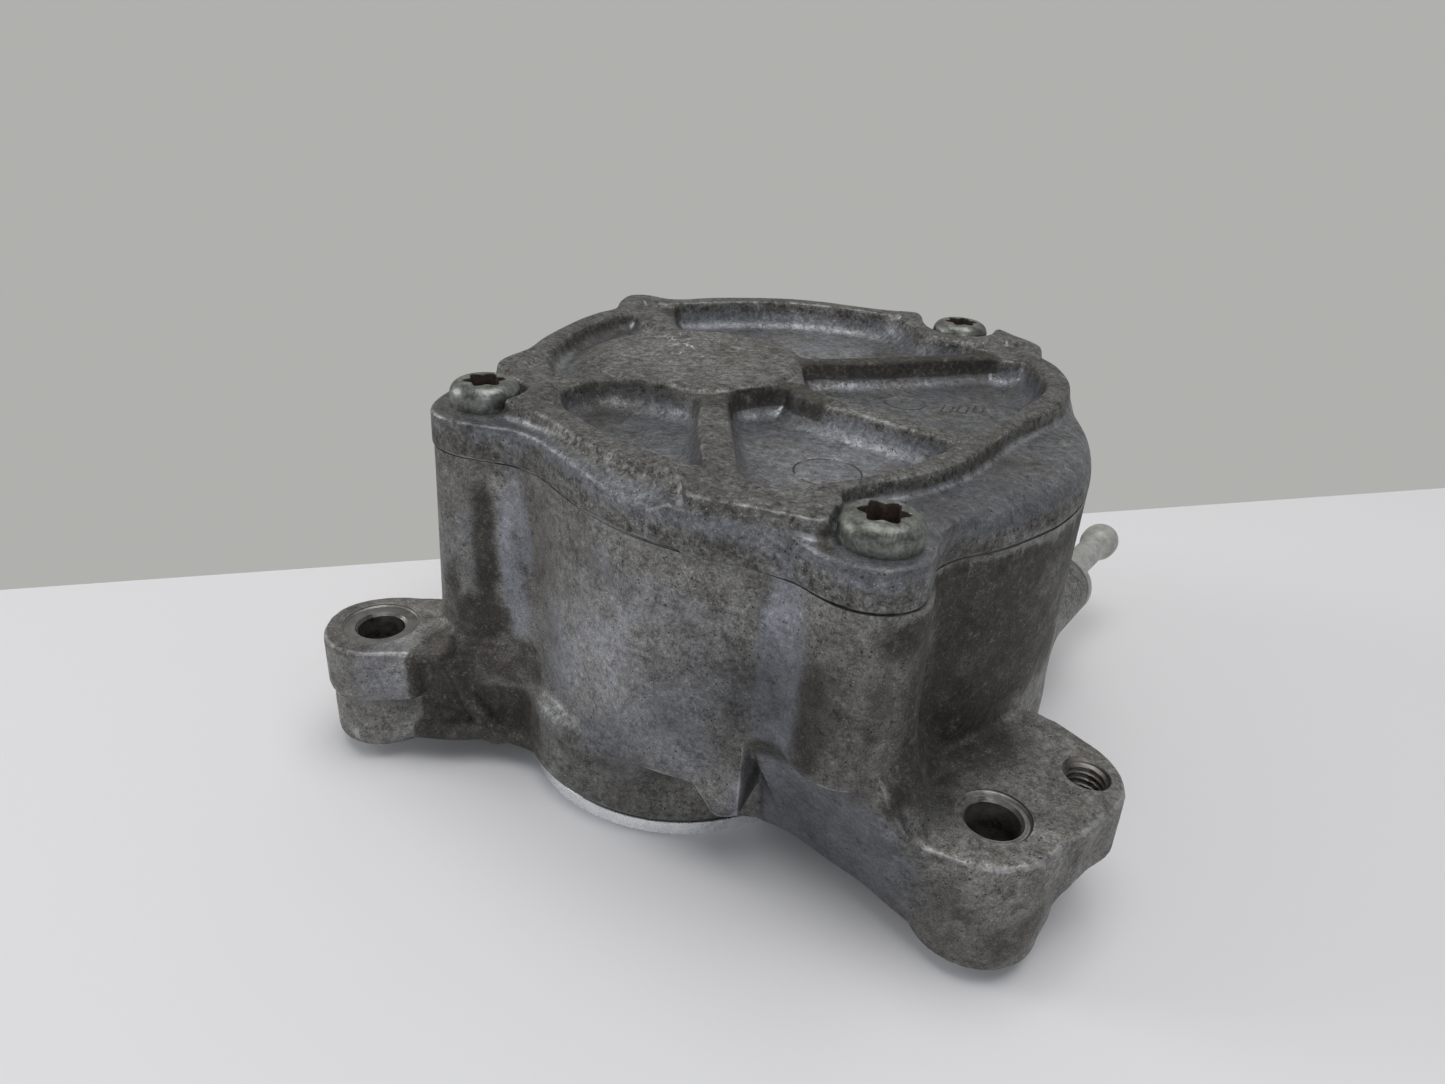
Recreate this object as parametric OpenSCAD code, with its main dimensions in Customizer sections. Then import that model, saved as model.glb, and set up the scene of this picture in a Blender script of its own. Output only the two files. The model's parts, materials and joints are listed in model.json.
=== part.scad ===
// Rotary vane vacuum pump with a single sliding through-vane.
// The origin is the centre of the spigot's lower end, on the rotor's axis.
// +Z points from the mounting face to the cover, and the two mounting bores
// of the ears lie on a line parallel to X.

/* [Heights] */
// Height of the body's underside above the spigot's lower end
body_z = 4; // [3.8:0.1:4.2]
// Depth of the ears' machined pads below the body's underside
pad_d = 1; // [0.8:0.1:1.2]
// Height of the two mounting ears above the body's underside
ear_t = 16; // [15.8:0.1:16.2]
// Height of the joint between housing and cover
joint_z = 49.5; // [49.3:0.1:50.5]
// Thickness of the cover's flange under the screw heads
cover_t = 5.3; // [5:0.1:5.6]
// Height of the cover's rim, hub and ribs above the screw seats
rim_h = 2.55; // [2.2:0.05:3]
// Depth of the cover's pockets below its rim
pocket_d = 5; // [4:0.1:5.4]

/* [Pumping chamber] */
// Radius of the rotor
rotor_r = 18; // [17.9:0.05:18]
// Distance between the rotor's axis and the chamber's middle
ecc = 14; // [13.8:0.1:14]
// Direction of the chamber's middle from the rotor's axis
ecc_dir = 65; // [63:1:67]
// Height of the chamber's floor
floor_z = 16; // [15.8:0.1:16.2]
// Thickness of the vane
vane_t = 5; // [4.8:0.1:5]
// Gap between the vane's tips and the chamber's wall
tip_gap = 0.06; // [0.04:0.01:0.1]
// Radial running clearance of the rotor in its bore
run_gap = 0.05; // [0.03:0.01:0.08]

/* [Mounting] */
// X of the left mounting bore
ear_l_x = -42.3; // [-42.8:0.1:-41.8]
// X of the right mounting bore
ear_r_x = 51.6; // [51.2:0.1:52]
// Y of both mounting bores
ear_y = -20.4; // [-20.8:0.1:-20]
// Radius of the mounting bores
ear_bore_r = 3.5; // [3.3:0.1:3.7]
// Outer radius of the locating spigot
spigot_r = 24; // [23.8:0.1:24.2]
// Core radius of the tapped hole beside the right ear's bore
tap_r = 2.5; // [2.4:0.1:2.6]

/* [Screws] */
// Radius of the cover screws' heads
head_r = 5; // [4.8:0.1:5.2]
// Height of the cover screws' heads
head_h = 3.65; // [3.4:0.05:3.8]
// Radius of the cover screws' shanks
shank_r = 2.95; // [2.9:0.05:2.95]
// Length of the cover screws under the head
screw_len = 20; // [16:1:22]

/* [Inlet] */
// Height of the inlet's axis
inlet_z = 17.5; // [17:0.5:18]
// Direction of the inlet nipple
inlet_dir = 75; // [74:1:76]
// Outer radius of the inlet pipe
pipe_r = 2.5; // [2.3:0.1:2.7]
// Radius of the bead at the pipe's end
bead_r = 3.5; // [3.3:0.1:3.7]

/* [Hidden] */
$fn = 96;
eps = 0.01;
pad_z = body_z - pad_d;
seat_z = joint_z + cover_t;
rim_z = seat_z + rim_h;
floor_p = rim_z - pocket_d;
nose_r = vane_t / 2;
// distance from the vane's middle to each nose's centre
nose_c = rotor_r + ecc - nose_r;
vane_dir = ecc_dir + 90;
vane_top = joint_z - 0.12;
// screw centres: front, left and back
screws = [[33, -22.5], [-29.3, -8.4], [24.4, 67.9]];
tap_pos = [61.7, -6.6];
bead_c = [58.2, 73.6];
// reed valve: port, direction and clamp
reed_dir = 70;
port_c = [-23, 19.3];
reed_len = 17;
seat_r_z = body_z + 4.6;

function crp(a, b, c, d, t) = 0.5 * (2 * b + (c - a) * t + (2 * a - 5 * b + 4 * c - d) * t * t + (3 * b - a - 3 * c + d) * t * t * t);
// closed smooth curve through hand-set points
function smooth(p, n) = let (m = len(p)) [for (i = [0 : m - 1]) for (k = [0 : n - 1])
  crp(p[(i + m - 1) % m], p[i], p[(i + 1) % m], p[(i + 2) % m], k / n)];
// each point of an anticlockwise outline moved inward by d
function inset(p, d) = let (m = len(p)) [for (i = [0 : m - 1])
  let (t = p[(i + 1) % m] - p[(i + m - 1) % m]) p[i] + d / norm(t) * [-t[1], t[0]]];

// path of a nose's centre about the rotor's axis
nose_path = [for (a = [0 : 3 : 357]) (nose_c + ecc * cos(a - ecc_dir)) * [cos(a), sin(a)]];
chamber_pts = inset(nose_path, -(nose_r + tip_gap));

// housing outline, from the left screw boss round the front, right and back
body_pts = [[-36.4, -9], [-34, -14], [-29.3, -15.8], [-24.5, -15.6], [-20.5, -15.3], [-16, -16.3], [-11.6, -18.9],
  [-7.4, -21.4], [-3, -23.6], [2, -25.4], [7, -26.4], [13, -26.7], [20, -26.5], [25, -27.2], [29, -28.9], [33, -29.6],
  [36.8, -28.2], [38.9, -25], [39, -20.6], [38.7, -16.8], [40.8, -12], [44.8, -7.3], [48.2, -1.5], [51, 4.5],
  [52.9, 12], [53.3, 20], [52.2, 30], [49.8, 39], [46.9, 47.6], [43.2, 56], [39.5, 64], [34.5, 70.2], [29.5, 74.4],
  [24.4, 75.4], [18.5, 75.2], [12, 75.8], [6, 74], [-1, 73.2], [-8, 71.4], [-15, 68.3], [-22, 63.8], [-28, 58],
  [-33, 56.6], [-38, 56.4], [-40, 52], [-37.6, 43], [-38.5, 36], [-38.7, 28], [-37.9, 18], [-36.6, 9], [-37.2, 0]];
body_line = smooth(body_pts, 2);
// lower part of the housing, round the spigot at the front
base_pts = [[-36.5, -9.5], [-34.4, -14.6], [-29.5, -16.6], [-22, -17], [-17.5, -18.6], [-12.4, -22.3], [-6.5, -24.7],
  [0, -25.5], [6.6, -24.7], [12.5, -22.3], [17.5, -18.7], [24, -17], [30, -18], [36, -20], [40.5, -19], [42, -13],
  [45.6, -8], [49, -2], [51.8, 4], [53.9, 12], [54.2, 20], [53.1, 30], [50.6, 39.5], [47.7, 48.4], [43.9, 56.6],
  [39.9, 64.5], [34.8, 70.8], [29.6, 74.9], [24.4, 75.9], [18.5, 75.7], [12, 76.3], [6, 74.6], [-1, 73.8], [-8.2, 72],
  [-15.3, 68.9], [-22.4, 64.3], [-28.4, 58.6], [-33, 57.2], [-38.4, 57], [-40.6, 52], [-38.2, 43], [-39.1, 36],
  [-39.3, 28], [-38.5, 18], [-37.2, 9], [-37.6, 0]];
base_line = smooth(base_pts, 2);

// raised rim of the cover, with a notch at each screw
rim_pts = [[-23.9, -11.2], [-20, -12.2], [-15, -14.2], [-10, -17], [-5.6, -19.3], [0, -20.9], [7.6, -22], [9.8, -24.8],
  [12, -27.1], [19.5, -26.4], [26.9, -25.7], [27, -22.5], [27.4, -19.6], [26.7, -16.4], [29.5, -12.2], [34, -6.8],
  [38, 1], [40, 9], [42.2, 18], [45, 25.5], [46.8, 32], [47.2, 38], [46.6, 44.5], [44, 52], [40.6, 57],
  [40.1, 62.6], [38.4, 65.6], [34.5, 68.6], [30.9, 71.5], [30.2, 66.4], [27.2, 62.8], [23.2, 62], [19.6, 64.4],
  [17.4, 68], [15.6, 73.4], [13.8, 74.8], [9, 73], [3, 72], [-3, 71.6], [-10, 69.8], [-15, 67.2], [-20, 64], [-25, 60],
  [-28, 56.4], [-31, 54.8], [-35.4, 55.2], [-38.3, 52.8], [-37.6, 47.8], [-35.8, 42.4], [-36.9, 36.8], [-37.2, 30],
  [-36.4, 19], [-34.9, 11.5], [-35.2, 5], [-33.6, 1.2], [-28.6, -2], [-24.6, -4.4], [-23.7, -8]];
rim_line = smooth(rim_pts, 2);

// pockets of the cover, by hand
pocket_1 = [[-21, -0.5], [-19.5, 4.5], [-16, 7.4], [-10, 8], [-4.5, 7.2], [-1, 4.4], [1.6, -2], [5.4, -10], [9, -17.6],
  [5, -18], [-2, -16.6], [-8, -13.8], [-15, -9.4], [-19.4, -4.6]];
pocket_2 = [[1.2, 9], [3.4, 14.4], [7.4, 18.2], [10.4, 15], [20, 12.4], [34.6, 9], [35.8, 7.2], [33.6, -1], [30, -8],
  [26.2, -13.4], [21, -17.8], [15.6, -18], [12.4, -15], [8, -6]];
pocket_3 = [[10.2, 19.8], [7.8, 24], [5.6, 30.4], [8.4, 33.6], [14.6, 37.8], [24, 46], [31.6, 52.8], [34.2, 53.6],
  [38.8, 52.6], [42, 46.6], [43.8, 38], [42.4, 31], [40.8, 22], [37.8, 14], [36, 12.4], [26, 14.8], [15, 17.6]];
pocket_4 = [[-20.4, 38.6], [-26, 47.4], [-27.8, 51.4], [-25.4, 54.6], [-17, 62], [-8, 67], [2, 69.2], [10, 69],
  [14.6, 66], [20.6, 58.6], [28, 58.4], [31.8, 57.8], [29.4, 54.6], [19.4, 45.6], [9.4, 37.4], [4.4, 34.4], [0.6, 38.4],
  [-6, 41.2], [-13.6, 41]];
crescent = [[-25.6, 4.6], [-29.4, 8.6], [-32, 16], [-33.6, 25], [-33.6, 34], [-31.4, 41.4], [-28.6, 39], [-25.4, 33.6],
  [-26.4, 26], [-26, 16], [-24.6, 8.4]];

module slot_shape(a, b, r) {
  // round-ended bar from a to b
  translate(a) circle(r);
  translate(b) circle(r);
  d = b - a;
  polygon([for (s = [[0, 1], [0, -1], [1, -1], [1, 1]]) a + s[0] * d + s[1] * r / norm(d) * [-d[1], d[0]]]);
}

// places children on the inlet's axis, +Z outward, at distance s from the bead
module inlet_axis(s) translate([bead_c[0], bead_c[1], inlet_z]) rotate([0, 0, inlet_dir]) translate([s, 0, 0]) rotate([0, 90, 0]) children();
module reed_frame() translate([port_c[0], port_c[1], 0]) rotate([0, 0, reed_dir]) children();
module vane_frame() rotate([0, 0, vane_dir]) children();

seal_mid = smooth([[-26.3, -3.2], [-24, -8], [-22, -11.9], [-16.8, -14.2], [-13, -16.2], [-9.2, -18.6], [-4, -21],
  [2, -23], [8, -23.7], [16, -23.4], [23, -21.4], [28, -17.4], [33.2, -13.8], [38.8, -9.4], [43.6, -4], [47.2, 3],
  [49.5, 12], [49.9, 21], [48.9, 30], [46.6, 38.4], [43.6, 47], [40, 55], [34.6, 60.6], [27, 61.4], [20, 62.4],
  [14.6, 67.4], [8, 70.2], [0, 70], [-7.6, 68], [-14.4, 64.8], [-21, 60.2], [-27.4, 53.6], [-33, 45], [-35, 36],
  [-35.2, 28], [-34.4, 18.6], [-32.4, 9], [-28.8, 1.6]], 3);

module pump_housing() color([0.36, 0.36, 0.37]) difference() {
  union() {
    translate([0, 0, body_z + 8]) linear_extrude(joint_z - body_z - 8) polygon(body_line);
    translate([0, 0, body_z]) linear_extrude(8) polygon(base_line);
    // locating spigot
    cylinder(r = spigot_r, h = body_z + 1);
    // left ear
    translate([ear_l_x, ear_y, pad_z]) cylinder(r = 8.2, h = ear_t + pad_d);
    translate([0, 0, body_z]) linear_extrude(ear_t)
      polygon([[ear_l_x - 3.8, ear_y + 7.2], [-30, -5], [-18, -16.6], [ear_l_x + 3.8, ear_y - 7.2]]);
    // right ear: boss, thinner lobe for the tapped hole, and web
    translate([ear_r_x, ear_y, pad_z]) cylinder(r = 8.8, h = ear_t + pad_d);
    translate([tap_pos[0], tap_pos[1], body_z + 6]) cylinder(r = 5.8, h = ear_t - 6);
    translate([0, 0, body_z + 9]) linear_extrude(ear_t - 9) polygon([[36, -16], [38.6, -24], [41, -27.4], [44.4, -29.3],
      [49, -29.5], [54.8, -28.5], [57.8, -25.7], [61.3, -19.9], [66.3, -10.2], [64.2, -1.3], [61, 1.6], [52, 6.2], [44, 0]]);
    translate([0, 0, body_z + 6]) linear_extrude(4) polygon([[52, -20], [61, -19], [66.3, -10.2], [64.2, -1.3], [61, 1.6],
      [52, 6.2], [44, 0]]);
    translate([0, 0, body_z]) linear_extrude(10) polygon([[18, -16.5], [25.8, -19.4], [32.6, -22.4], [37.3, -24.6],
      [42.1, -27], [46.6, -28.6], [50.6, -29.2], [54.9, -28.8], [58.2, -26.6], [60.3, -21.5], [57, -11], [48, -4], [30, -4]]);
    // inlet boss
    inlet_axis(-52) cylinder(r = 6.5, h = 28);
  }
  // pumping chamber and rotor bore
  translate([0, 0, floor_z]) linear_extrude(joint_z) polygon(chamber_pts);
  translate([0, 0, -1]) cylinder(r = rotor_r + run_gap, h = floor_z + 2);
  // groove for the ring on the spigot
  translate([0, 0, body_z - 1.3]) rotate_extrude() translate([spigot_r - 1.2, 0]) square([3, 1.3]);
  // mounting bores, tapped hole and screw holes
  for (x = [ear_l_x, ear_r_x]) translate([x, ear_y, 0]) cylinder(r = ear_bore_r, h = ear_t + 10);
  translate([tap_pos[0], tap_pos[1], body_z]) cylinder(r = tap_r, h = ear_t + 1);
  for (p = screws) translate([p[0], p[1], seat_z - screw_len - 2]) cylinder(r = shank_r + 0.05, h = screw_len);
  // groove for the cover seal
  translate([0, 0, joint_z - 1.2]) linear_extrude(2) difference() {
    polygon(inset(seal_mid, -0.7));
    polygon(inset(seal_mid, 0.7));
  }
  // inlet: counterbore, valve chamber and passage to the pumping chamber
  inlet_axis(-33) cylinder(r = 5, h = 10);
  inlet_axis(-40) cylinder(r = 4.2, h = 8);
  inlet_axis(-71) cylinder(r = 3, h = 32);
  // outlet port, reed recess and clamp screw hole
  translate([port_c[0], port_c[1], body_z]) cylinder(r = 2.7, h = floor_z);
  reed_frame() translate([0, 0, body_z - 1]) linear_extrude(5.6) slot_shape([0, 0], [24, 0], 5.5);
  reed_frame() translate([24, 0, seat_r_z - 1]) cylinder(r = 2, h = 6.6);
  // outlet and inlet grooves in the chamber's floor
  translate([0, 0, floor_z - 1.5]) linear_extrude(2) {
    polygon(concat([for (a = [142 : 6 : 208]) (nose_c + ecc * cos(a - ecc_dir) + nose_r - 0.3) * [cos(a), sin(a)]],
      [for (a = [208 : -6 : 142]) (rotor_r + 0.4) * [cos(a), sin(a)]]));
    polygon(concat([for (a = [-76 : 6 : -10]) (nose_c + ecc * cos(a - ecc_dir) + nose_r - 0.3) * [cos(a), sin(a)]],
      [for (a = [-10 : -6 : -76]) (rotor_r + 0.4) * [cos(a), sin(a)]]));
  }
  // weight-saving pocket behind the chamber, open to the mounting face
  translate([0, 0, body_z - 1]) linear_extrude(33) polygon(concat(
    [for (a = [52 : 5 : 112]) 51.6 * [cos(a), sin(a)]], [for (a = [112 : -5 : 52]) 60.4 * [cos(a), sin(a)]]));
}

module cover() color([0.40, 0.40, 0.41]) difference() {
  union() {
    translate([0, 0, joint_z]) linear_extrude(cover_t) polygon(body_line);
    translate([0, 0, seat_z - 1]) linear_extrude(rim_h + 1) polygon(rim_line);
  }
  for (q = [pocket_1, pocket_2, pocket_3, pocket_4])
    translate([0, 0, floor_p]) linear_extrude(pocket_d + 1) polygon(smooth(q, 2));
  translate([0, 0, rim_z - 2.6]) linear_extrude(4) polygon(smooth(crescent, 2));
  for (p = screws) translate([p[0], p[1], joint_z - 1]) cylinder(r = shank_r + 0.3, h = 12);
}

module cover_seal() color([0.05, 0.05, 0.05]) translate([0, 0, joint_z - 1.19]) linear_extrude(1.18) difference() {
  polygon(inset(seal_mid, -0.66));
  polygon(inset(seal_mid, 0.66));
}

module cover_screw() difference() {
  union() {
    rotate_extrude() polygon([[0, 0], [head_r, 0], [head_r, head_h - 1.1], [head_r - 0.35, head_h - 0.4],
      [head_r - 1.1, head_h - 0.05], [head_r - 1.8, head_h], [0, head_h]]);
    translate([0, 0, -screw_len]) cylinder(r = shank_r, h = screw_len + 0.5);
  }
  translate([0, 0, head_h - 2.4]) linear_extrude(3)
    polygon([for (a = [0 : 7.5 : 352.5]) (2.42 + 0.36 * cos(6 * a)) * [cos(a), sin(a)]]);
}
module cover_screws() color([0.50, 0.52, 0.50])
  for (i = [0 : 2]) translate([screws[i][0], screws[i][1], seat_z]) rotate([0, 0, [12, 41, 25][i]]) cover_screw();

module rotor() color([0.42, 0.42, 0.44]) difference() {
  translate([0, 0, 0.6]) cylinder(r = rotor_r, h = joint_z - 0.15 - 0.6);
  // vane slot
  vane_frame() translate([-30, -vane_t / 2 - 0.05, floor_z]) cube([60, vane_t + 0.1, 60]);
  // cup for the coupling, slot for its tongue and groove for the clip
  translate([0, 0, -1]) cylinder(r = 15.2, h = 8);
  intersection() {
    vane_frame() translate([-20, -4.6, 5]) cube([40, 9.2, 6]);
    cylinder(r = 15.2, h = 20);
  }
  translate([0, 0, 1.85]) cylinder(r = 16, h = 1.1);
  // oil hole to the vane slot
  translate([0, 0, 5]) cylinder(r = 2.8, h = 15);
  // weight-saving holes
  vane_frame() for (y = [-1, 1]) for (x = [-7.4, 0, 7.4])
    translate([x, y * (x == 0 ? 10.6 : 8.6), floor_z + 2]) cylinder(r = x == 0 ? 3.4 : 3, h = 60);
}

module vane() color([0.16, 0.16, 0.17]) vane_frame() difference() {
  translate([-nose_c + 0.04, -vane_t / 2, floor_z + 0.1]) cube([2 * nose_c - 0.08, vane_t, vane_top - floor_z - 0.1]);
  for (s = [-1, 1]) translate([s * (nose_c - 2.05) - 2.15, -0.85, 0]) cube([4.3, 1.7, 60]);
  cylinder(r = 1.6, h = 60);
}
module vane_tip(s) color([0.24, 0.24, 0.25]) vane_frame() intersection() {
  union() {
    translate([s * nose_c, 0, floor_z + 0.1]) cylinder(r = nose_r, h = vane_top - floor_z - 0.1);
    translate([s * (nose_c - 1.9) - 2, -0.8, floor_z + 0.1]) cube([4, 1.6, vane_top - floor_z - 0.1]);
  }
  union() {
    translate([s * (nose_c + 5) - 5, -5, 0]) cube([10, 10, 80]);
    translate([s * (nose_c - 1.9) - 2, -0.8, 0]) cube([4, 1.6, 80]);
  }
}
module vane_tip_a() vane_tip(1);
module vane_tip_b() vane_tip(-1);
module vane_guide_pin() color([0.6, 0.6, 0.62]) translate([0, 0, floor_z + 0.15]) cylinder(r = 1.55, h = vane_top - floor_z - 0.25);

module drive_coupling() color([0.48, 0.47, 0.45]) vane_frame() difference() {
  union() {
    translate([0, 0, 3.1]) cylinder(r = 14.4, h = 3.7);
    // upper tongue, in the rotor's slot
    intersection() {
      translate([-13.8, -4.55, 3.5]) cube([27.6, 9.1, 7.1]);
      cylinder(r = 14, h = 20);
    }
    // lower tongue, for the camshaft's slot
    intersection() {
      translate([-5.5, -12, 0.4]) cube([11, 24, 4]);
      cylinder(r = 12, h = 20);
    }
  }
  cylinder(r = 4.2, h = 20);
}
module coupling_clip() color([0.3, 0.3, 0.31]) translate([0, 0, 1.9]) difference() {
  cylinder(r = 15.9, h = 1);
  translate([0, 0, -1]) cylinder(r = 12.8, h = 3);
  rotate([0, 0, vane_dir]) translate([0, -2, -1]) cube([20, 4, 3]);
}
module oil_feed_tube() color([0.62, 0.60, 0.56]) difference() {
  translate([0, 0, 1]) cylinder(r = 2.8, h = 14.6);
  cylinder(r = 1.8, h = 30);
  translate([0, 0, 1.5]) rotate_extrude() translate([2.2, 0]) square([2, 1.5]);
}
module oil_tube_o_ring() color([0.05, 0.05, 0.05]) translate([0, 0, 2.25]) rotate_extrude() translate([2.92, 0]) circle(r = 0.7, $fn = 32);
module oil_strainer() color([0.7, 0.66, 0.5]) difference() {
  translate([0, 0, 2.2]) cylinder(r = 1.79, h = 0.5);
  for (a = [0 : 60 : 300]) rotate([0, 0, a]) translate([1.05, 0, 0]) cylinder(r = 0.32, h = 9, $fn = 24);
  cylinder(r = 0.32, h = 9, $fn = 24);
}
module spigot_o_ring() color([0.05, 0.05, 0.05]) translate([0, 0, body_z - 0.65]) rotate_extrude() translate([spigot_r - 0.52, 0]) circle(r = 0.62, $fn = 32);

module inlet_nipple() color([0.62, 0.64, 0.62]) inlet_axis(0) rotate_extrude() difference() {
  polygon([[0, -32.9], [4.6, -32.9], [4.95, -32.5], [4.95, -31.1], [4.05, -31.1], [4.05, -29], [4.95, -29], [4.95, -24],
    [6.3, -24], [6.3, -22.8], [5.9, -22.4], [3.4, -22.4], [pipe_r, -21.2], [pipe_r, -3.4], [bead_r - 0.4, -2],
    [bead_r, -0.8], [bead_r, 0.6], [bead_r - 0.4, 1.8], [bead_r - 1.1, 2.7], [1.9, 3.2], [0, 3.2]]);
  translate([-0.1, -40]) square([1.6, 50]);
}
module nipple_o_ring() color([0.05, 0.05, 0.05]) inlet_axis(-30.05) rotate_extrude() translate([4.51, 0]) circle(r = 0.45, $fn = 32);
module check_valve_disc() color([0.2, 0.2, 0.2]) inlet_axis(-34.12) union() {
  cylinder(r = 3.2, h = 1.2);
  translate([0, 0, -3.6]) cylinder(r = 1, h = 4);
}
module check_valve_spring() color([0.66, 0.66, 0.66]) inlet_axis(-39.95) difference() {
  union() {
    cylinder(r = 3.7, h = 0.8);
    cylinder(r = 2.4, h = 5.8);
  }
  translate([0, 0, -1]) cylinder(r = 1.9, h = 8);
}

module outlet_reed() color([0.5, 0.52, 0.56]) reed_frame() translate([0, 0, seat_r_z - 0.3]) {
  linear_extrude(0.29) difference() {
    union() {
      circle(r = 4);
      translate([0, -3.5]) square([reed_len - 0.05, 7]);
    }
  }
}
module reed_root() color([0.5, 0.52, 0.56]) reed_frame() translate([0, 0, seat_r_z - 0.3]) linear_extrude(0.3) difference() {
  translate([reed_len, -3.5]) square([10.4, 7]);
  translate([24, 0]) circle(r = 2.1);
}
module reed_stop() color([0.46, 0.46, 0.47]) reed_frame() difference() {
  union() {
    translate([reed_len, -3.8, seat_r_z - 1.3]) cube([10.5, 7.6, 1]);
    translate([reed_len + 0.01, -3.8, seat_r_z - 0.31]) rotate([0, -6, 0]) translate([-18, 0, -1]) cube([18, 7.6, 0.98]);
  }
  translate([24, 0, 0]) cylinder(r = 2.1, h = 20);
}
module reed_screw() color([0.55, 0.55, 0.55]) reed_frame() translate([24, 0, 0]) difference() {
  union() {
    translate([0, 0, seat_r_z - 3.5]) cylinder(r = 3.5, h = 2.19);
    translate([0, 0, seat_r_z - 2]) cylinder(r = 1.95, h = 7);
  }
  translate([0, 0, seat_r_z - 4]) cylinder(r = 1.5, h = 1.8, $fn = 6);
}

pump_housing();
cover();
cover_seal();
cover_screws();
rotor();
vane();
vane_tip_a();
vane_tip_b();
vane_guide_pin();
drive_coupling();
coupling_clip();
oil_feed_tube();
oil_tube_o_ring();
oil_strainer();
spigot_o_ring();
inlet_nipple();
nipple_o_ring();
check_valve_disc();
check_valve_spring();
outlet_reed();
reed_root();
reed_stop();
reed_screw();
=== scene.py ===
import json
import math

import bmesh
import bpy
import numpy as np
from mathutils import Matrix, Vector


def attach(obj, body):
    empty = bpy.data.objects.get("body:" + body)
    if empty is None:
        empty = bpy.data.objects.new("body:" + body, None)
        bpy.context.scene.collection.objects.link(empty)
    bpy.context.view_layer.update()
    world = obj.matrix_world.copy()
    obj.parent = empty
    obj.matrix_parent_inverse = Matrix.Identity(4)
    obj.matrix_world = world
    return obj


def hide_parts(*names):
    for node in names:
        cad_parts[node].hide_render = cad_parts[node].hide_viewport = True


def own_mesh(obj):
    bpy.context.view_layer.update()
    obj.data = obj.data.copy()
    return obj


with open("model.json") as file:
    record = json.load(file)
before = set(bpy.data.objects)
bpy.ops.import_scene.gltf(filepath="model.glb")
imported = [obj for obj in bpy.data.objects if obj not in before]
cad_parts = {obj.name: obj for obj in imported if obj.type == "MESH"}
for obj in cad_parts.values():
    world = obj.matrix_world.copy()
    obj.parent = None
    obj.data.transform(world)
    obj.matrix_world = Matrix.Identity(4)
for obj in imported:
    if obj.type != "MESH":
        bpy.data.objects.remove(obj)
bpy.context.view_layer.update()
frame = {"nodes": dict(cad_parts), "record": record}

MM = 0.001
F32 = np.float32

# ---------------------------------------------------------------- sizes, in mm, as the CAD has them
JOINT_Z, SEAT_Z, RIM_Z, FLOOR_P = 49.5, 54.8, 57.35, 52.35
BODY_Z, PAD_Z, EAR_Z = 4.0, 3.0, 20.0
SCREWS = [(33.0, -22.5), (-29.3, -8.4), (24.4, 67.9)]
EAR_L, EAR_R, TAP = (-42.3, -20.4), (51.6, -20.4), (61.7, -6.6)
ROTOR_R, ECC, ECC_DIR, FLOOR_Z = 18.0, 14.0, 65.0, 16.0
BEAD_C, INLET_Z, INLET_DIR = (58.2, 73.6), 17.5, 75.0
PORT_C, REED_DIR = (-23.0, 19.3), 70.0


def smooth(p, n=4):
    p = np.asarray(p, float)
    t = (np.arange(n) / n)[:, None]
    a, b, c, d = (np.roll(p, k, 0)[:, None, :] for k in (1, 0, -1, -2))
    q = 0.5 * (2 * b + (c - a) * t + (2 * a - 5 * b + 4 * c - d) * t ** 2 + (3 * b - a - 3 * c + d) * t ** 3)
    return q.reshape(-1, 2)


BODY = smooth([(-36.4, -9), (-34, -14), (-29.3, -15.8), (-24.5, -15.6), (-20.5, -15.3), (-16, -16.3), (-11.6, -18.9),
  (-7.4, -21.4), (-3, -23.6), (2, -25.4), (7, -26.4), (13, -26.7), (20, -26.5), (25, -27.2), (29, -28.9), (33, -29.6),
  (36.8, -28.2), (38.9, -25), (39, -20.6), (38.7, -16.8), (40.8, -12), (44.8, -7.3), (48.2, -1.5), (51, 4.5),
  (52.9, 12), (53.3, 20), (52.2, 30), (49.8, 39), (46.9, 47.6), (43.2, 56), (39.5, 64), (34.5, 70.2), (29.5, 74.4),
  (24.4, 75.4), (18.5, 75.2), (12, 75.8), (6, 74), (-1, 73.2), (-8, 71.4), (-15, 68.3), (-22, 63.8), (-28, 58),
  (-33, 56.6), (-38, 56.4), (-40, 52), (-37.6, 43), (-38.5, 36), (-38.7, 28), (-37.9, 18), (-36.6, 9), (-37.2, 0)])
BASE = smooth([(-36.2, -9.5), (-34, -13.6), (-29.5, -15.4), (-22, -16.2), (-17.5, -18.6), (-12.4, -22.3), (-6.5, -24.7),
  (0, -25.5), (6.6, -24.7), (12.5, -22.3), (17.5, -18.7), (24, -17), (30, -18), (36, -20), (40.5, -19), (41.6, -13),
  (45.2, -8), (48.6, -2), (51.4, 4), (53.4, 12), (53.8, 20), (52.7, 30), (50.2, 39.5), (47.3, 48.4), (43.5, 56.6),
  (39.5, 64.3), (34.5, 70.4), (29.5, 74.5), (24.4, 75.6), (18.5, 75.4), (12, 76), (6, 74.3), (-1, 73.5), (-8.2, 71.7),
  (-15.3, 68.6), (-22.4, 64), (-28.4, 58.3), (-33, 56.9), (-38, 56.6), (-40.2, 52), (-37.8, 43), (-38.7, 36),
  (-38.9, 28), (-38.1, 18), (-36.8, 9), (-37.2, 0)])
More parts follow.
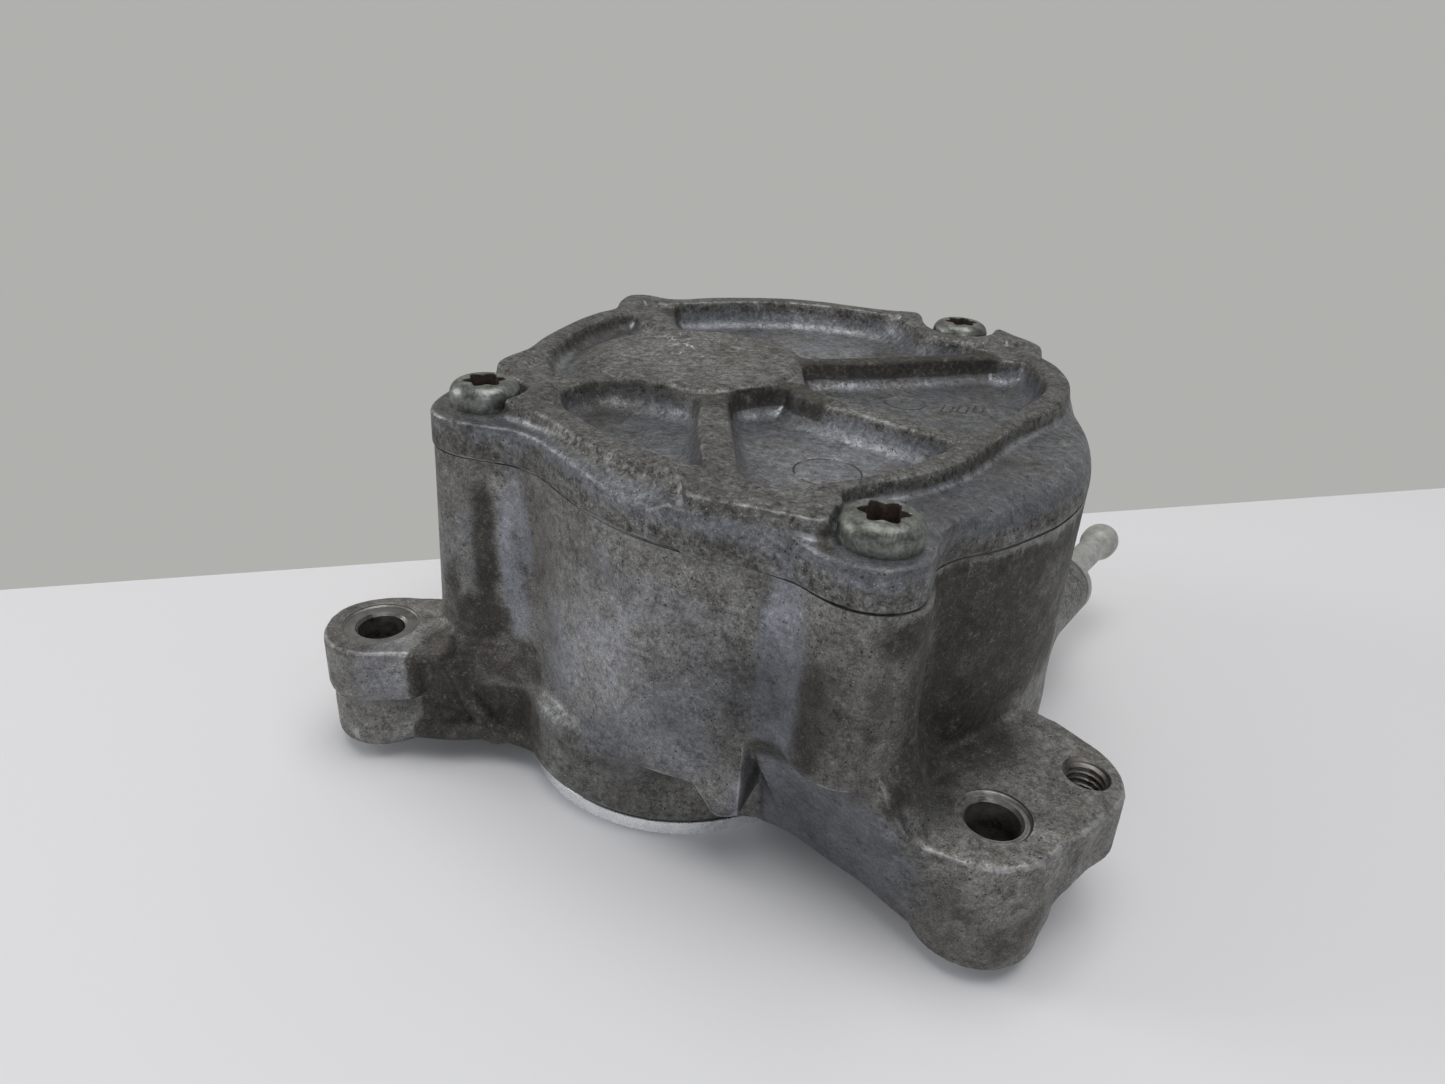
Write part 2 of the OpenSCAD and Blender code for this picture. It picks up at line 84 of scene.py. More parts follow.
RIM = smooth([(-23.9, -11.2), (-20, -12.2), (-15, -14.2), (-10, -17), (-5.6, -19.3), (0, -20.9), (7.6, -22), (9.8, -24.8),
  (12, -27.1), (19.5, -26.4), (26.9, -25.7), (27, -22.5), (27.4, -19.6), (26.7, -16.4), (29.5, -12.2), (34, -6.8),
  (38, 1), (40, 9), (42.2, 18), (45, 25.5), (46.8, 32), (47.2, 38), (46.6, 44.5), (44, 52), (40.6, 57),
  (40.1, 62.6), (38.4, 65.6), (34.5, 68.6), (30.9, 71.5), (30.2, 66.4), (27.2, 62.8), (23.2, 62), (19.6, 64.4),
  (17.4, 68), (15.6, 73.4), (13.8, 74.8), (9, 73), (3, 72), (-3, 71.6), (-10, 69.8), (-15, 67.2), (-20, 64), (-25, 60),
  (-28, 56.4), (-31, 54.8), (-35.4, 55.2), (-38.3, 52.8), (-37.6, 47.8), (-35.8, 42.4), (-36.9, 36.8), (-37.2, 30),
  (-36.4, 19), (-34.9, 11.5), (-35.2, 5), (-33.6, 1.2), (-28.6, -2), (-24.6, -4.4), (-23.7, -8)])
POCKETS = [smooth(q) for q in (
  [(-21, -0.5), (-19.5, 4.5), (-16, 7.4), (-10, 8), (-4.5, 7.2), (-1, 4.4), (1.6, -2), (5.4, -10), (9, -17.6),
   (5, -18), (-2, -16.6), (-8, -13.8), (-15, -9.4), (-19.4, -4.6)],
  [(1.2, 9), (3.4, 14.4), (7.4, 18.2), (10.4, 15), (20, 12.4), (34.6, 9), (35.8, 7.2), (33.6, -1), (30, -8),
   (26.2, -13.4), (21, -17.8), (15.6, -18), (12.4, -15), (8, -6)],
  [(10.2, 19.8), (7.8, 24), (5.6, 30.4), (8.4, 33.6), (14.6, 37.8), (24, 46), (31.6, 52.8), (34.2, 53.6),
   (38.8, 52.6), (42, 46.6), (43.8, 38), (42.4, 31), (40.8, 22), (37.8, 14), (36, 12.4), (26, 14.8), (15, 17.6)],
  [(-20.4, 38.6), (-26, 47.4), (-27.8, 51.4), (-25.4, 54.6), (-17, 62), (-8, 67), (2, 69.2), (10, 69),
   (14.6, 66), (20.6, 58.6), (28, 58.4), (31.8, 57.8), (29.4, 54.6), (19.4, 45.6), (9.4, 37.4), (4.4, 34.4), (0.6, 38.4),
   (-6, 41.2), (-13.6, 41)])]
CRESCENT = smooth([(-22, 6.5), (-25.6, 4.6), (-29.4, 8.6), (-32, 16), (-33.6, 25), (-33.6, 34), (-31.4, 41.4), (-28.6, 39.4),
  (-23, 38), (-19, 33), (-17, 24), (-18, 14)])
SEAL_MID = smooth([(-26.3, -3.2), (-24, -8), (-22, -11.9), (-16.8, -14.2), (-13, -16.2), (-9.2, -18.6), (-4, -21),
  (2, -23), (8, -23.7), (16, -23.4), (23, -21.4), (28, -17.4), (33.2, -13.8), (38.8, -9.4), (43.6, -4), (47.2, 3),
  (49.5, 12), (49.9, 21), (48.9, 30), (46.6, 38.4), (43.6, 47), (40, 55), (34.6, 60.6), (27, 61.4), (20, 62.4),
  (14.6, 67.4), (8, 70.2), (0, 70), (-7.6, 68), (-14.4, 64.8), (-21, 60.2), (-27.4, 53.6), (-33, 45), (-35, 36),
  (-35.2, 28), (-34.4, 18.6), (-32.4, 9), (-28.8, 1.6)], 3)


def rot2(p, deg, at=(0, 0)):
    c, s = math.cos(math.radians(deg)), math.sin(math.radians(deg))
    return (at[0] + c * p[0] - s * p[1], at[1] + s * p[0] + c * p[1])


# ---------------------------------------------------------------- distance fields
class Grid:
    """A box of samples of a signed distance, negative inside the metal."""

    def __init__(self, low, high, h):
        self.h = h
        self.low = np.asarray(low, float)
        self.n = [int(math.ceil((b - a) / h)) + 1 for a, b in zip(low, high)]
        self.x, self.y, self.z = (
            (self.low[i] + h * np.arange(self.n[i])).astype(F32) for i in range(3)
        )
        self.X, self.Y = np.meshgrid(self.x, self.y, indexing="ij")
        self.f = None

    def poly(self, P):
        return poly2(self.X, self.Y, P)

    def window(self, lo, hi):
        s = []
        for i, a in enumerate((self.x, self.y, self.z)):
            i0 = int(np.searchsorted(a, lo[i]))
            i1 = int(np.searchsorted(a, hi[i]))
            s.append(slice(max(i0 - 1, 0), min(i1 + 1, len(a))))
        return tuple(s)

    def block(self, lo, hi):
        s = self.window(lo, hi)
        return s, self.x[s[0]][:, None, None], self.y[s[1]][None, :, None], self.z[s[2]][None, None, :]


def poly2(X, Y, P):
    """Signed distance of the points X, Y from a closed polygon, negative inside."""
    P = np.asarray(P, F32)
    best = np.full(X.shape, 1e9, F32)
    inside = np.zeros(X.shape, bool)
    Q = np.roll(P, -1, 0)
    for (ax, ay), (bx, by) in zip(P, Q):
        ex, ey = bx - ax, by - ay
        L = ex * ex + ey * ey
        if L < 1e-9:
            continue
        wx, wy = X - ax, Y - ay
        t = np.clip((wx * ex + wy * ey) / L, 0, 1)
        dx, dy = wx - ex * t, wy - ey * t
        np.minimum(best, dx * dx + dy * dy, out=best)
        if ay != by:
            inside ^= ((ay > Y) != (by > Y)) & (X < ex * (Y - ay) / ey + ax)
    d = np.sqrt(best)
    d[inside] *= -1
    return d


def smin(a, b, k):
    h = np.maximum(k - np.abs(a - b), 0)
    return np.minimum(a, b) - h * h * F32(0.25 / k)


def smax(a, b, k):
    h = np.maximum(k - np.abs(a - b), 0)
    return np.maximum(a, b) + h * h * F32(0.25 / k)


def capsule2(X, Y, a, b, r):
    ex, ey = b[0] - a[0], b[1] - a[1]
    t = np.clip(((X - a[0]) * ex + (Y - a[1]) * ey) / (ex * ex + ey * ey), 0, 1)
    return np.hypot(X - a[0] - ex * t, Y - a[1] - ey * t) - r


def spline_rows(n, low, h, cell, k):
    """Weights of a cubic B-spline lattice with spacing cell at n samples."""
    x = (np.arange(n) * h) / cell
    i = np.floor(x).astype(int)
    t = (x - i)[:, None]
    w = np.concatenate([(1 - t) ** 3, 3 * t ** 3 - 6 * t ** 2 + 4, -3 * t ** 3 + 3 * t ** 2 + 3 * t + 1, t ** 3], 1) / 6
    out = np.zeros((n, k), F32)
    for j in range(4):
        out[np.arange(n), i + j] += w[:, j]
    return out


def lumps(g, cell, seed):
    """Smooth noise over a whole grid, about -1 to 1."""
    k = [int(math.ceil(m * g.h / cell)) + 5 for m in g.n]
    L = np.random.default_rng(seed).uniform(-1, 1, k).astype(F32)
    for axis in range(3):
        W = spline_rows(g.n[axis], 0, g.h, cell, k[axis])
        L = np.moveaxis(np.tensordot(W, L, (1, axis)), 0, axis)
    return L * F32(2.2)


def blur(a, r, times=2):
    """Box blur of radius r samples on each axis, repeated."""
    for _ in range(times):
        for axis in range(3):
            a = np.moveaxis(a, axis, 0)
            p = np.concatenate([np.repeat(a[:1], r + 1, 0), a, np.repeat(a[-1:], r, 0)], 0)
            c = np.cumsum(p, 0, dtype=np.float64)
            a = ((c[2 * r + 1:] - c[:-2 * r - 1]) / (2 * r + 1)).astype(F32)
            a = np.moveaxis(a, 0, axis)
    return np.ascontiguousarray(a)


def sample(vol, low, h, P):
    """Trilinear samples of a volume at points P, in mm."""
    q = (P - low) / h
    q = np.clip(q, 0, np.array(vol.shape) - 1.001)
    i = q.astype(int)
    t = q - i
    out = 0
    for dx in (0, 1):
        for dy in (0, 1):
            for dz in (0, 1):
                w = (t[:, 0] if dx else 1 - t[:, 0]) * (t[:, 1] if dy else 1 - t[:, 1]) * (t[:, 2] if dz else 1 - t[:, 2])
                out = out + w * vol[i[:, 0] + dx, i[:, 1] + dy, i[:, 2] + dz]
    return out


def surface(g):
    """Surface nets: vertices (mm) and quads of the zero level of g.f."""
    f = g.f
    s = f < 0
    c = np.zeros(tuple(n - 1 for n in f.shape), np.uint8)
    offs = [(a, b, d) for a in (0, 1) for b in (0, 1) for d in (0, 1)]
    sh = c.shape
    for a, b, d in offs:
        c += s[a:a + sh[0], b:b + sh[1], d:d + sh[2]]
    cells = np.argwhere((c > 0) & (c < 8))
    index = np.full(sh, -1, np.int32)
    index[tuple(cells.T)] = np.arange(len(cells), dtype=np.int32)
    V = np.stack([f[cells[:, 0] + a, cells[:, 1] + b, cells[:, 2] + d] for a, b, d in offs], 1).astype(np.float64)
    O = np.array(offs, float)
    acc = np.zeros((len(cells), 3))
    cnt = np.zeros(len(cells))
    for i in range(8):
        for j in range(i + 1, 8):
            if abs(O[i] - O[j]).sum() != 1:
                continue
            m = (V[:, i] < 0) != (V[:, j] < 0)
            t = V[m, i] / (V[m, i] - V[m, j])
            acc[m] += O[i] + (O[j] - O[i]) * t[:, None]
            cnt[m] += 1
    verts = g.low + g.h * (cells + acc / cnt[:, None])
    quads = []
    for axis in range(3):
        a = [slice(None)] * 3
        b = [slice(None)] * 3
        a[axis], b[axis] = slice(0, -1), slice(1, None)
        sa, sb = s[tuple(a)], s[tuple(b)]
        E = np.argwhere(sa != sb)
        u, v = [(1, 2), (2, 0), (0, 1)][axis]
        ok = (E[:, u] > 0) & (E[:, v] > 0) & (E[:, u] < sh[u]) & (E[:, v] < sh[v])
        E = E[ok]
        out = sa[tuple(E.T)]

        def at(du, dv):
            q = E.copy()
            q[:, u] -= du
            q[:, v] -= dv
            return index[tuple(q.T)]

        Q = np.stack([at(1, 1), at(0, 1), at(0, 0), at(1, 0)], 1)
        Q[~out] = Q[~out][:, ::-1]
        quads.append(Q)
    return verts, np.concatenate(quads)


# ---------------------------------------------------------------- meshes
def make_mesh(name, verts_mm, faces):
    """Object from vertices in mm and equal-length faces as an array, or a list of faces."""
    me = bpy.data.meshes.new(name)
    V = np.asarray(verts_mm, F32) * F32(MM)
    if isinstance(faces, np.ndarray):
        n, k = faces.shape
        me.vertices.add(len(V))
        me.vertices.foreach_set("co", V.ravel())
        me.loops.add(n * k)
        me.loops.foreach_set("vertex_index", faces.astype(np.int32).ravel())
        me.polygons.add(n)
        me.polygons.foreach_set("loop_start", np.arange(0, n * k, k, dtype=np.int32))
        me.update(calc_edges=True)
    else:
        me.from_pydata([tuple(map(float, v)) for v in V], [], [tuple(map(int, f)) for f in faces])
    me.validate()
    o = bpy.data.objects.new(name, me)
    bpy.context.scene.collection.objects.link(o)
    return o


def drop(o):
    me = o.data
    bpy.data.objects.remove(o)
    if me.users == 0:
        bpy.data.meshes.remove(me)


def applied(o, keep=True):
    """The object with its modifiers made real."""
    bpy.context.view_layer.update()
    dg = bpy.context.evaluated_depsgraph_get()
    me = bpy.data.meshes.new_from_object(o.evaluated_get(dg))
    old = o.data
    o.modifiers.clear()
    o.data = me
    if old.users == 0:
        bpy.data.meshes.remove(old)
    return o


def boolean(a, b, op, solver="MANIFOLD"):
    n0 = len(a.data.vertices)
    before = a.data.copy()
    m = a.modifiers.new("b", "BOOLEAN")
    m.object = b
    m.operation = op
    try:
        m.solver = solver
    except TypeError:
        m.solver = "EXACT"
    if m.solver == "EXACT":
        m.use_self = False
    m.material_mode = "TRANSFER"
    applied(a)
    bad = len(a.data.vertices) == 0 or (len(a.data.vertices) == n0 and len(a.data.polygons) == len(before.polygons))
    if bad and solver != "EXACT":
        print("boolean", a.name, b.name, op, "falls back to exact")
        a.data = before
        return boolean(a, b, op, "EXACT")
    bpy.data.meshes.remove(before)
    return a


def lathe(name, profile, axis_at=(0, 0, 0), turn=None, n=96, closed=False):
    """Solid of revolution about +Z from (r, z) points in mm. Points with r 0 close the ends; closed profiles make rings."""
    prof = [(float(r), float(z)) for r, z in profile]
    V, F, rows = [], [], []
    for r, z in prof:
        if r < 1e-7:
            rows.append([len(V)])
            V.append((0, 0, z))
        else:
            rows.append(list(range(len(V), len(V) + n)))
            V += [(r * math.cos(2 * math.pi * i / n), r * math.sin(2 * math.pi * i / n), z) for i in range(n)]
    pairs = list(zip(rows[:-1], rows[1:]))
    if closed:
        pairs.append((rows[-1], rows[0]))
    for A, B in pairs:
        for i in range(n):
            j = (i + 1) % n
            if len(A) == 1 and len(B) == 1:
                continue
            if len(A) == 1:
                F.append((A[0], B[j], B[i]))
            elif len(B) == 1:
                F.append((A[i], A[j], B[0]))
            else:
                F.append((A[i], A[j], B[j], B[i]))
    o = make_mesh(name, V, F)
    M = Matrix.Translation([c * MM for c in axis_at])
    if turn is not None:
        M = M @ turn
    o.data.transform(M)
    fix_normals(o)
    return o


def fix_normals(o):
    bm = bmesh.new()
    bm.from_mesh(o.data)
    bmesh.ops.recalc_face_normals(bm, faces=bm.faces)
    if bm.calc_volume(signed=True) < 0:
        bmesh.ops.reverse_faces(bm, faces=bm.faces)
    bm.to_mesh(o.data)
    bm.free()


def prism(name, P, z0, z1):
    """Upright solid with outline P, in mm."""
    P = np.asarray(P, float)
    n = len(P)
    V = [(x, y, z0) for x, y in P] + [(x, y, z1) for x, y in P]
    F = [tuple(range(n))[::-1], tuple(range(n, 2 * n))] + [(i, (i + 1) % n, n + (i + 1) % n, n + i) for i in range(n)]
    o = make_mesh(name, V, F)
    bm = bmesh.new()
    bm.from_mesh(o.data)
    bmesh.ops.triangulate(bm, faces=[f for f in bm.faces if len(f.verts) > 4])
    bm.to_mesh(o.data)
    bm.free()
    fix_normals(o)
    return o


def ring_prism(name, P_out, P_in, z0, z1):
    """Upright wall between two outlines with as many points each."""
    n = len(P_out)
    V = [(x, y, z) for z in (z0, z1) for P in (P_out, P_in) for x, y in P]
    F = []
    for i in range(n):
        j = (i + 1) % n
        a, b, c, d = (k * n for k in range(4))
        F += [(a + j, a + i, b + i, b + j), (c + i, c + j, d + j, d + i), (a + i, a + j, c + j, c + i), (b + j, b + i, d + i, d + j)]
    o = make_mesh(name, V, F)
    fix_normals(o)
    return o


def offset(P, d):
    """Outline moved outward by d (anticlockwise points)."""
    P = np.asarray(P, float)
    t = np.roll(P, -1, 0) - np.roll(P, 1, 0)
    t /= np.linalg.norm(t, axis=1)[:, None]
    return P + d * np.stack([t[:, 1], -t[:, 0]], 1)


def slot_line(a, b, r, n=24):
    a, b = np.array(a, float), np.array(b, float)
    d = math.atan2(*(b - a)[::-1])
    return [tuple(b + r * np.array([math.cos(d - math.pi / 2 + math.pi * i / n), math.sin(d - math.pi / 2 + math.pi * i / n)])) for i in range(n + 1)] + \
           [tuple(a + r * np.array([math.cos(d + math.pi / 2 + math.pi * i / n), math.sin(d + math.pi / 2 + math.pi * i / n)])) for i in range(n + 1)]


def thread_plug(name, at, z0, z1, r_in, r_out, pitch, face, n=64, per=14):
    """Solid with a helical thread on it, for cutting a tapped hole."""
    rows = int(round((z1 - z0) / pitch * per))
    V = []
    for k in range(rows + 1):
        z = z0 + (z1 - z0) * k / rows
        for i in range(n):
            a = 2 * math.pi * i / n
            ph = (z / pitch - a / (2 * math.pi)) % 1.0
            tri = 1 - abs(2 * ph - 1)
            u = min(max((tri - 0.14) / 0.72, 0), 1)
            r = r_in + (r_out - r_in) * u
            if z > face - 0.9:
                r = max(r, r_out + 0.1 + min(z - face, 0.3) * 0.8)
            V.append((at[0] + r * math.cos(a), at[1] + r * math.sin(a), z))
    F = [tuple(range(n))[::-1], tuple(range(rows * n, rows * n + n))]
    for k in range(rows):
        for i in range(n):
            j = (i + 1) % n
            F.append((k * n + i, k * n + j, (k + 1) * n + j, (k + 1) * n + i))
    o = make_mesh(name, V, F)
    fix_normals(o)
    return o


def union_all(objs):
    base = objs[0]
    for o in objs[1:]:
        boolean(base, o, "UNION")
        drop(o)
    return base


def thin_to(o, target):
    """Collapses faces down to about target triangles, flat areas first."""
    o.data.calc_loop_triangles()
    n = len(o.data.loop_triangles)
    if n > target:
        m = o.modifiers.new("thin", "DECIMATE")
        m.ratio = target / n
        m.use_collapse_triangulate = True
        applied(o)
    return o


def set_smooth(o, deg=32):
    me = o.data
    me.polygons.foreach_set("use_smooth", np.ones(len(me.polygons), bool))
    bm = bmesh.new()
    bm.from_mesh(me)
    lim = math.radians(deg)
    for e in bm.edges:
        if len(e.link_faces) == 2:
            if e.calc_face_angle(0) > lim:
                e.smooth = False
            elif e.link_faces[0].material_index != e.link_faces[1].material_index and e.calc_face_angle(0) > math.radians(14):
                e.smooth = False
    bm.to_mesh(me)
    bm.free()


def bevelled(node, width, segments=2, deg=35, name=None):
    """A copy of a CAD node's mesh with its edges broken, standing in for it."""
    src = frame["nodes"][node]
    me = src.data.copy()
    me.name = name or node + "_fine"
    o = bpy.data.objects.new(me.name, me)
    bpy.context.scene.collection.objects.link(o)
    me.materials.clear()
    bm = bmesh.new()
    bm.from_mesh(me)
    bmesh.ops.remove_doubles(bm, verts=bm.verts, dist=1e-6)
    bmesh.ops.dissolve_limit(bm, angle_limit=math.radians(0.6), verts=bm.verts, edges=bm.edges)
    bm.to_mesh(me)
    bm.free()
    m = o.modifiers.new("edge", "BEVEL")
    m.width = width * MM
    m.segments = segments
    m.limit_method = "ANGLE"
    m.angle_limit = math.radians(deg)
    m.harden_normals = False
    m.use_clamp_overlap = True
    applied(o)
    set_smooth(o, 30)
    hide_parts(node)
    return o


# ---------------------------------------------------------------- shapes of the castings
def ramp01(x, a, b):
    t = np.clip((x - a) / (b - a), 0, 1)
    return t * t * (3 - 2 * t)


FRONT_KEEP = [(-70, 70), (-70, -9), (-16.5, -9), (-16, 12.4), (-12, 13), (-8.4, 13.2), (-4, 14.2), (-0.8, 14.9), (6, 15.4),
  (11, 15.8), (13.9, 15.9), (15.4, 14.1), (16.6, 12.2), (17.6, 11.7), (19, 12), (20.6, 12.8), (21.0, 25.4), (22.8, 26), (25.2, 26),
  (27.4, 25.6), (29, 25.1), (33.5, 25.3), (37.3, 25.9), (39.5, 25), (43, 20), (70, 18), (70, 70)]
WEB_TOP = smooth([(21, -24.4), (24, -24.8), (27, -25.5), (31, -26.8), (35, -28), (40, -29.3), (44.5, -29.7), (49.2, -29.7),
  (52.1, -29.6), (54.8, -28.5), (57.8, -25.5), (61.3, -19.8), (64.2, -13.5), (62, -4), (54.2, 4.5), (44, 2), (30, -6), (20, -10)], 3)
WEB_LOW = smooth([(20.4, -17.5), (25.8, -18.8), (32.6, -21.6), (37.3, -23.3), (42.1, -25.9), (46.6, -28.2), (50.6, -29.2),
  (54.9, -28.8), (58.2, -26.7), (60.1, -22.5), (60.8, -17.8), (58, -11), (49, -3), (40, 0), (30, -2), (21, -8)], 3)
LOBE = smooth([(52, -20), (60.6, -19.8), (64.2, -13.6), (66.6, -9.2), (66.2, -4.8), (64.2, -1.3), (60.8, 1.4), (54.2, 4.6),
  (46, 0), (48, -12)], 3)
PAD = smooth([(-29.5, -13), (-29.2, -17.0), (-28.6, -18.9), (-27.4, -19.5), (-23, -18.2), (-19.1, -16.9), (-15.5, -17.4),
  (-11.5, -19), (-10.4, -17), (-11, -13), (-20, -9)], 3)
EARL_TOP = smooth([(-42.3, -28.4), (-38.6, -27.2), (-34.6, -25.3), (-31, -23.6), (-29.2, -22.4), (-30.4, -19.2), (-33.6, -15), (-33.6, -9),
  (-38, -8.6), (-46.2, -13.8), (-50, -20), (-47, -26.6)], 3)
EARL_BLOCK = smooth([(-42.3, -28.7), (-38.6, -27.6), (-35.2, -25.9), (-33.3, -24.7), (-32.9, -22), (-33.5, -16), (-38, -10),
  (-46.2, -13.8), (-50.2, -20), (-47.4, -26.8)], 3)
EARL_WEB = smooth([(-41, -26.3), (-36, -23.6), (-32, -21.6), (-28.6, -19.6), (-26, -17.2), (-22, -14.5), (-24, -6), (-32, -5),
  (-38, -8.8), (-46, -14)], 3)
EARL_FOOT = smooth([(-42.7, -28.7), (-39, -27.6), (-35.9, -26), (-29.8, -24), (-25.6, -21.9), (-21.9, -19.8), (-18.9, -19.9),
  (-14, -16), (-22, -6), (-32, -5), (-38, -8.8), (-46.4, -13.6)], 3)
t10 = math.tan(math.radians(1.0))


def outline_field(X, Y):
    """Distance from the joint's outline, shared by both castings."""
    d = poly2(X, Y, BODY)
    return d


def tube3(x, y, z, a, b, r):
    a, b = np.array(a, float), np.array(b, float)
    d = b - a
    t = np.clip(((x - a[0]) * d[0] + (y - a[1]) * d[1] + (z - a[2]) * d[2]) / (d @ d), 0, 1)
    return np.sqrt((x - a[0] - d[0] * t) ** 2 + (y - a[1] - d[1] * t) ** 2 + (z - a[2] - d[2] * t) ** 2) - r


def housing_field(g):
    z = g.z[None, None, :]
    X3, Y3 = g.X[:, :, None], g.Y[:, :, None]
    body, base = g.poly(BODY), g.poly(BASE)
    # main wall, a little wider toward the mounting face, ending in a shaped lower edge at the front
    XZ, ZZ = np.meshgrid(g.x, g.z, indexing="ij")
    keep2 = poly2(XZ, ZZ, FRONT_KEEP)
    front = ramp01(-g.Y, 10, 20)[:, :, None]
    f = body[:, :, None] - F32(t10) * (JOINT_Z - z) * (F32(0.6) + F32(1.0) * front)
    keep = smin(keep2[:, None, :], (-12.5 - Y3) * F32(0.9), 1.5)
    f = smax(f, keep, 0.9)
    # collar round the spigot and the back's lower part
    low = smax(base[:, :, None] - F32(t10) * (14 - z), np.maximum(z - 16, BODY_Z - 0.2 - z), 2.0)
    f = smin(f, low, 1.6)
    # screw bosses
    for (cx, cy), r0, r1, zb in zip(SCREWS, (6.8, 7.0, 7.5), (8.4, 8.6, 8.3), (25.2, 4.0, 4.0)):
        s, x, y, zz = g.block((cx - 12, cy - 12, zb - 4), (cx + 12, cy + 12, 60))
        b = np.hypot(x - cx, y - cy) - (r0 + (JOINT_Z - zz) / 45.5 * (r1 - r0))
        b = smax(b, zb - zz, 1.1)
        f[s] = smin(f[s], b, 2.0)
    # gusset from the front boss to the right ear
    s, x, y, zz = g.block((28, -34, 10), (52, -14, 40))
    fin = np.minimum(tube3(x, y, zz, (38.2, -23.2, 33.0), (42.0, -25.0, 24.0), 1.5), tube3(x, y, zz, (42.0, -25.0, 24.0), (43.6, -27.8, 18.6), 1.6))
    fin = smin(fin, tube3(x, y, zz, (37.0, -24.0, 29.0), (41.0, -26.8, 19.0), 2.2), 2.0)
    f[s] = smin(f[s], fin, 1.8)
    # web and right ear: the wall leans out from the foot to the ear's top
    s = g.window((14, -36, 0), (74, 12, 34))
    wt, wl = poly2(g.X[s[:2]], g.Y[s[:2]], WEB_TOP), poly2(g.X[s[:2]], g.Y[s[:2]], WEB_LOW)
    zz = g.z[s[2]][None, None, :]
    t = np.clip((zz - BODY_Z) / 18, 0, 1.15)
    w = wl[:, :, None] * (1 - t) + wt[:, :, None] * t
    xs = g.X[s[:2]][:, :, None]
    top = EAR_Z + 8 * (1 - ramp01(xs, 38.0, 44.0))
    w = smax(w, zz - top, 0.8)
    w = smax(w, BODY_Z - zz, 2.6)
    lobe = poly2(g.X[s[:2]], g.Y[s[:2]], LOBE)[:, :, None] - F32(0.02) * (EAR_Z - zz)
    lobe = smax(smax(lobe, zz - EAR_Z, 0.8), 10.0 - zz, 1.6)
    w = smin(w, lobe, 1.6)
    boss = np.hypot(xs - EAR_R[0], g.Y[s[:2]][:, :, None] - EAR_R[1]) - (8.6 - 0.012 * (zz - PAD_Z))
    boss = smax(boss, np.maximum(zz - EAR_Z, PAD_Z - 0.5 - zz), 0.8)
    w = smin(w, boss, 0.6)
    f[s] = smin(f[s], w, 1.0)
    # left ear: plate, boss block, set-back web and foot
    s = g.window((-56, -36, 0), (-10, 2, 26))
    xs, ys = g.X[s[:2]], g.Y[s[:2]]
    x3, y3 = xs[:, :, None], ys[:, :, None]
    zz = g.z[s[2]][None, None, :]
    plate = smax(poly2(xs, ys, EARL_TOP)[:, :, None], np.maximum(zz - EAR_Z, 18.0 - zz), 0.8)
    block = smax(poly2(xs, ys, EARL_BLOCK)[:, :, None] - 0.015 * (EAR_Z - zz), np.maximum(zz - EAR_Z, 11.6 - zz), 0.8)
    web = smax(poly2(xs, ys, EARL_WEB)[:, :, None] - 0.02 * (18 - zz), np.maximum(zz - 19, BODY_Z - zz), 1.6)
    foot = smax(poly2(xs, ys, EARL_FOOT)[:, :, None] + 0.10 * (zz - 4), np.maximum(zz - 7.0, BODY_Z - zz), 1.6)
    low_boss = smax(np.hypot(x3 - EAR_L[0], y3 - EAR_L[1]) - (7.9 - 0.01 * (zz - 4)), np.maximum(zz - 19, PAD_Z - 0.5 - zz), 1.0)
    top_boss = smax(np.hypot(x3 - EAR_L[0], y3 - EAR_L[1]) - 8.25, np.maximum(zz - EAR_Z, 11.8 - zz), 0.8)
    e = smin(smin(plate, block, 0.6), smin(web, foot, 1.6), 0.9)
    e = smin(e, smin(low_boss, top_boss, 0.7), 0.9)
    f[s] = smin(f[s], e, 1.6)
    # ridge and pad at the foot of the left screw boss
    s, x, y, zz = g.block((-42, -26, 0), (-4, -6, 26))
    rail = np.minimum(tube3(x, y, zz, (-33.4, -15.6, 18.9), (-29.9, -20.6, 18.4), 1.2),
                      np.minimum(tube3(x, y, zz, (-29.9, -20.6, 18.4), (-26.4, -20.0, 10.5), 1.3),
                                 tube3(x, y, zz, (-26.4, -20.0, 10.5), (-22.8, -18.6, 4.6), 1.5)))
    f[s] = smin(f[s], rail, 1.4)
    s2 = s[:2]
    bulge = 1.0 * np.exp(-((zz - 15.5) / 3.2) ** 2) - 0.55 * ramp01(10 - zz, 0, 6)
    pad = poly2(g.X[s2], g.Y[s2], PAD)[:, :, None] - bulge
    pad = smax(pad, np.maximum(zz - EAR_Z, 4.8 - zz), 0.8)
    f[s] = smin(f[s], pad, 0.7)
    # inlet boss
    s, x, y, zz = g.block((28, 10, 6), (66, 62, 28))
    ca, sa = math.cos(math.radians(INLET_DIR)), math.sin(math.radians(INLET_DIR))
    al = (x - BEAD_C[0]) * ca + (y - BEAD_C[1]) * sa + 0 * zz
    ac = -(x - BEAD_C[0]) * sa + (y - BEAD_C[1]) * ca
    rr = np.hypot(ac, zz - INLET_Z) - (6.45 - 0.012 * (al + 40))
    tube = smax(rr, np.maximum(al + 24.0, -56 - al), 1.5)
    f[s] = smin(f[s], tube, 4.0)
    # relief pocket behind the chamber, open toward the mounting face
    s = g.window((-34, 30, 0), (52, 74, 42))
    xs, ys = g.X[s[:2]], g.Y[s[:2]]
    zz = g.z[s[2]][None, None, :]
    rad, ang = np.hypot(xs, ys), np.degrees(np.arctan2(ys, xs))
    arc = np.maximum(np.maximum(51.4 - rad, rad - 60.5), np.maximum(52 - ang, ang - 112) * F32(math.radians(1)) * 56)
    p = smax(arc[:, :, None] + F32(t10) * (zz - 4), zz - 36, 3.0)
    f[s] = smax(f[s], -p, 1.5)
